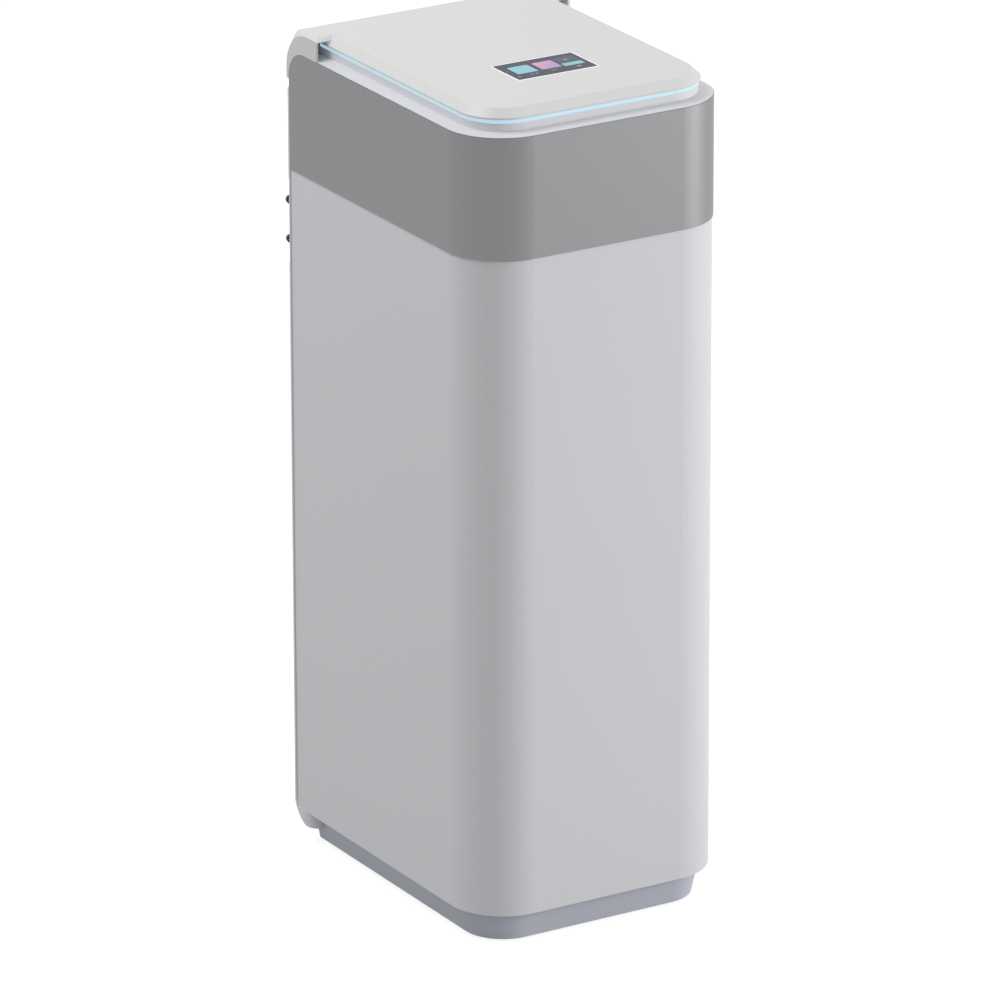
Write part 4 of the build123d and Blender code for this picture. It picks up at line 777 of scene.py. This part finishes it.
def clip_grid(radius, width, wall):
    """A pinch clip round a hose along +Y: the band's radius swells into an ear over a short arc,
    radius + ear x exp(-(angle / arc) squared), and its section is a strip with bevelled edges"""
    angle = np.linspace(-TURN / 2, TURN / 2, CLIP_SIDES, endpoint=False)
    ear = CLIP_EAR * wall * np.exp(-((angle / CLIP_EAR_ARC) ** 2))
    strip = np.array(CLIP_SECTION)
    reach = radius + ear[:, None] + wall * strip[None, :, 0]
    along = np.broadcast_to(width * strip[None, :, 1], reach.shape)
    points = np.stack([reach * np.cos(angle)[:, None], along, reach * np.sin(angle)[:, None]], -1)
    return points.reshape(-1, 3), quads(len(angle), len(strip), True, True)


class SOFTENER_OT_hose_clips(bpy.types.Operator):
    """Put a clip on each end of the hoses"""
    bl_idname = "softener.hose_clips"
    bl_label = "Hose clips"

    def execute(self, context):
        wall = context.scene.softener_fittings.clip_wall
        width = context.scene.softener_fittings.clip_width
        for hose in ("brine_hose", "drain_hose"):
            low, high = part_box(hose)
            radius = (high.z - low.z) / 2
            level = (low.z + high.z) / 2
            points, faces = clip_grid(radius + CLIP_PLAY, width, wall)
            near = high.y - radius if hose == "brine_hose" else low.y + radius
            valve_end = (high.x - width, near, level)
            far = (low.x + radius, low.y + width if hose == "brine_hose" else high.y - width, level)
            for name, place, direction in (("valve", valve_end, "+x"), ("far", far, "+y")):
                placed, corners = copies(facing(points, direction), faces, [place])
                make_piece(hose + "_clip_" + name, placed, corners, MATERIALS["bright_steel"],
                           "cabinet")
        return {"FINISHED"}


# The studio, in metres: places of the two lights, the point that they aim at and their side, half
# the floor's side, and the camera's middle, sensor in millimetres and reach
KEY_PLACE = (3.03, -2.55, 1.16)
FILL_PLACE = (-1.73, 1.0, 4.06)
LIGHT_AIM = (0, 0, 0.6)
LIGHT_SIDE = 1.8
FLOOR_HALF = 12.0
FLOOR_TONE = 0.3
FLOOR_GLOW = 0.82
CAMERA_MIDDLE = (0, -18.5 * MM, -7.7 * MM)
CAMERA_SENSOR = 36
CAMERA_REACH = 60


class SOFTENER_OT_stage(bpy.types.Operator):
    """Floor, lights, world and camera"""
    bl_idname = "softener.stage"
    bl_label = "Stage"

    def execute(self, context):
        values = context.scene.softener_stage
        add_floor()
        add_world(values.sky)
        add_light("key light", KEY_PLACE, values.key_power)
        add_light("rear fill", FILL_PLACE, values.fill_power)
        add_camera(values)
        context.scene.view_settings.view_transform = "Standard"
        return {"FINISHED"}


def seen_ray(tree):
    """One for a ray that shows the background: from the camera, in a reflection or through glass"""
    path = add_node(tree, "ShaderNodeLightPath")
    mirrored = maths(tree, "MAXIMUM", path.outputs["Is Glossy Ray"], path.outputs["Is Transmission Ray"])
    return maths(tree, "MAXIMUM", path.outputs["Is Camera Ray"], mirrored)


def add_floor():
    """A wide plain floor, white to the camera, in reflections and through glass"""
    side = FLOOR_HALF
    corners = [(-side, -side, 0), (side, -side, 0), (side, side, 0), (-side, side, 0)]
    mesh = bpy.data.meshes.new("floor")
    mesh.from_pydata(corners, [], [(0, 1, 2, 3)])
    floor = bpy.data.objects.new("floor", mesh)
    bpy.context.scene.collection.objects.link(floor)
    material, tree, shader = start_material("floor")
    shader.inputs["Base Color"].default_value = (FLOOR_TONE, FLOOR_TONE, FLOOR_TONE, 1)
    shader.inputs["Roughness"].default_value = 0.9
    shader.inputs["Emission Color"].default_value = (1, 1, 1, 1)
    level = maths(tree, "MULTIPLY", seen_ray(tree), FLOOR_GLOW)
    tree.links.new(level, shader.inputs["Emission Strength"])
    mesh.materials.append(material)


def add_world(strength):
    """Even light, and plain white to the camera, in reflections and through glass"""
    world = bpy.data.worlds.new("studio")
    bpy.context.scene.world = world
    world.use_nodes = True
    tree = world.node_tree
    back = next(n for n in tree.nodes if n.bl_idname == "ShaderNodeBackground")
    back.inputs["Color"].default_value = (1, 1, 1, 1)
    level = maths(tree, "ADD", maths(tree, "MULTIPLY", seen_ray(tree), 1 - strength), strength)
    tree.links.new(level, back.inputs["Strength"])


def add_light(name, place, power):
    """A square soft light at a place, turned to the point that the lights aim at"""
    lamp = bpy.data.lights.new(name, "AREA")
    lamp.energy = power
    lamp.size = LIGHT_SIDE
    thing = bpy.data.objects.new(name, lamp)
    thing.location = place
    thing.rotation_euler = (Vector(LIGHT_AIM) - Vector(place)).to_track_quat("-Z", "Y").to_euler()
    bpy.context.scene.collection.objects.link(thing)


def add_camera(values):
    """The camera stands on the ray at azimuth and elevation, moved aside and up in its own plane, and
    is rolled about that ray"""
    a, e, r = values.azimuth, values.elevation, values.roll
    back = Vector((np.sin(a) * np.cos(e), -np.cos(a) * np.cos(e), np.sin(e)))
    flat = Vector((np.cos(a), np.sin(a), 0))
    steep = back.cross(flat)
    right = flat * np.cos(r) + steep * np.sin(r)
    up = steep * np.cos(r) - flat * np.sin(r)
    place = Vector(CAMERA_MIDDLE) + right * values.aside + up * values.raised + back * values.distance
    turn = Matrix((right, up, back)).transposed()
    data = bpy.data.cameras.new("camera")
    data.lens = values.lens
    data.sensor_width = CAMERA_SENSOR
    data.clip_end = CAMERA_REACH
    camera = bpy.data.objects.new("camera", data)
    camera.matrix_world = Matrix.Translation(place) @ turn.to_4x4()
    bpy.context.scene.collection.objects.link(camera)
    bpy.context.scene.camera = camera


class SOFTENER_PT_panel(bpy.types.Panel):
    """Buttons for each part of the finish"""
    bl_idname = "SOFTENER_PT_panel"
    bl_label = "Water softener"
    bl_space_type = "VIEW_3D"
    bl_region_type = "UI"
    bl_category = "Softener"

    def draw(self, context):
        for operator in OPERATORS:
            self.layout.operator(operator.bl_idname)


OPERATORS = (SOFTENER_OT_finishes, SOFTENER_OT_pipe_threads, SOFTENER_OT_screws, SOFTENER_OT_display_trim,
             SOFTENER_OT_hose_clips, SOFTENER_OT_stage)
SETTINGS = {
    "softener_finishes": SoftenerFinishes,
    "softener_display": SoftenerDisplay,
    "softener_fittings": SoftenerFittings,
    "softener_stage": SoftenerStage,
}


def register():
    for group in SETTINGS.values():
        bpy.utils.register_class(group)
    for name, group in SETTINGS.items():
        setattr(bpy.types.Scene, name, bpy.props.PointerProperty(type=group))
    for operator in OPERATORS:
        bpy.utils.register_class(operator)
    bpy.utils.register_class(SOFTENER_PT_panel)


def unregister():
    bpy.utils.unregister_class(SOFTENER_PT_panel)
    for operator in reversed(OPERATORS):
        bpy.utils.unregister_class(operator)
    for name, group in SETTINGS.items():
        delattr(bpy.types.Scene, name)
        bpy.utils.unregister_class(group)


def main():
    register()
    bpy.ops.softener.finishes()
    bpy.ops.softener.pipe_threads()
    bpy.ops.softener.screws()
    bpy.ops.softener.display_trim()
    bpy.ops.softener.hose_clips()
    bpy.ops.softener.stage()


if __name__ == "__main__":
    main()
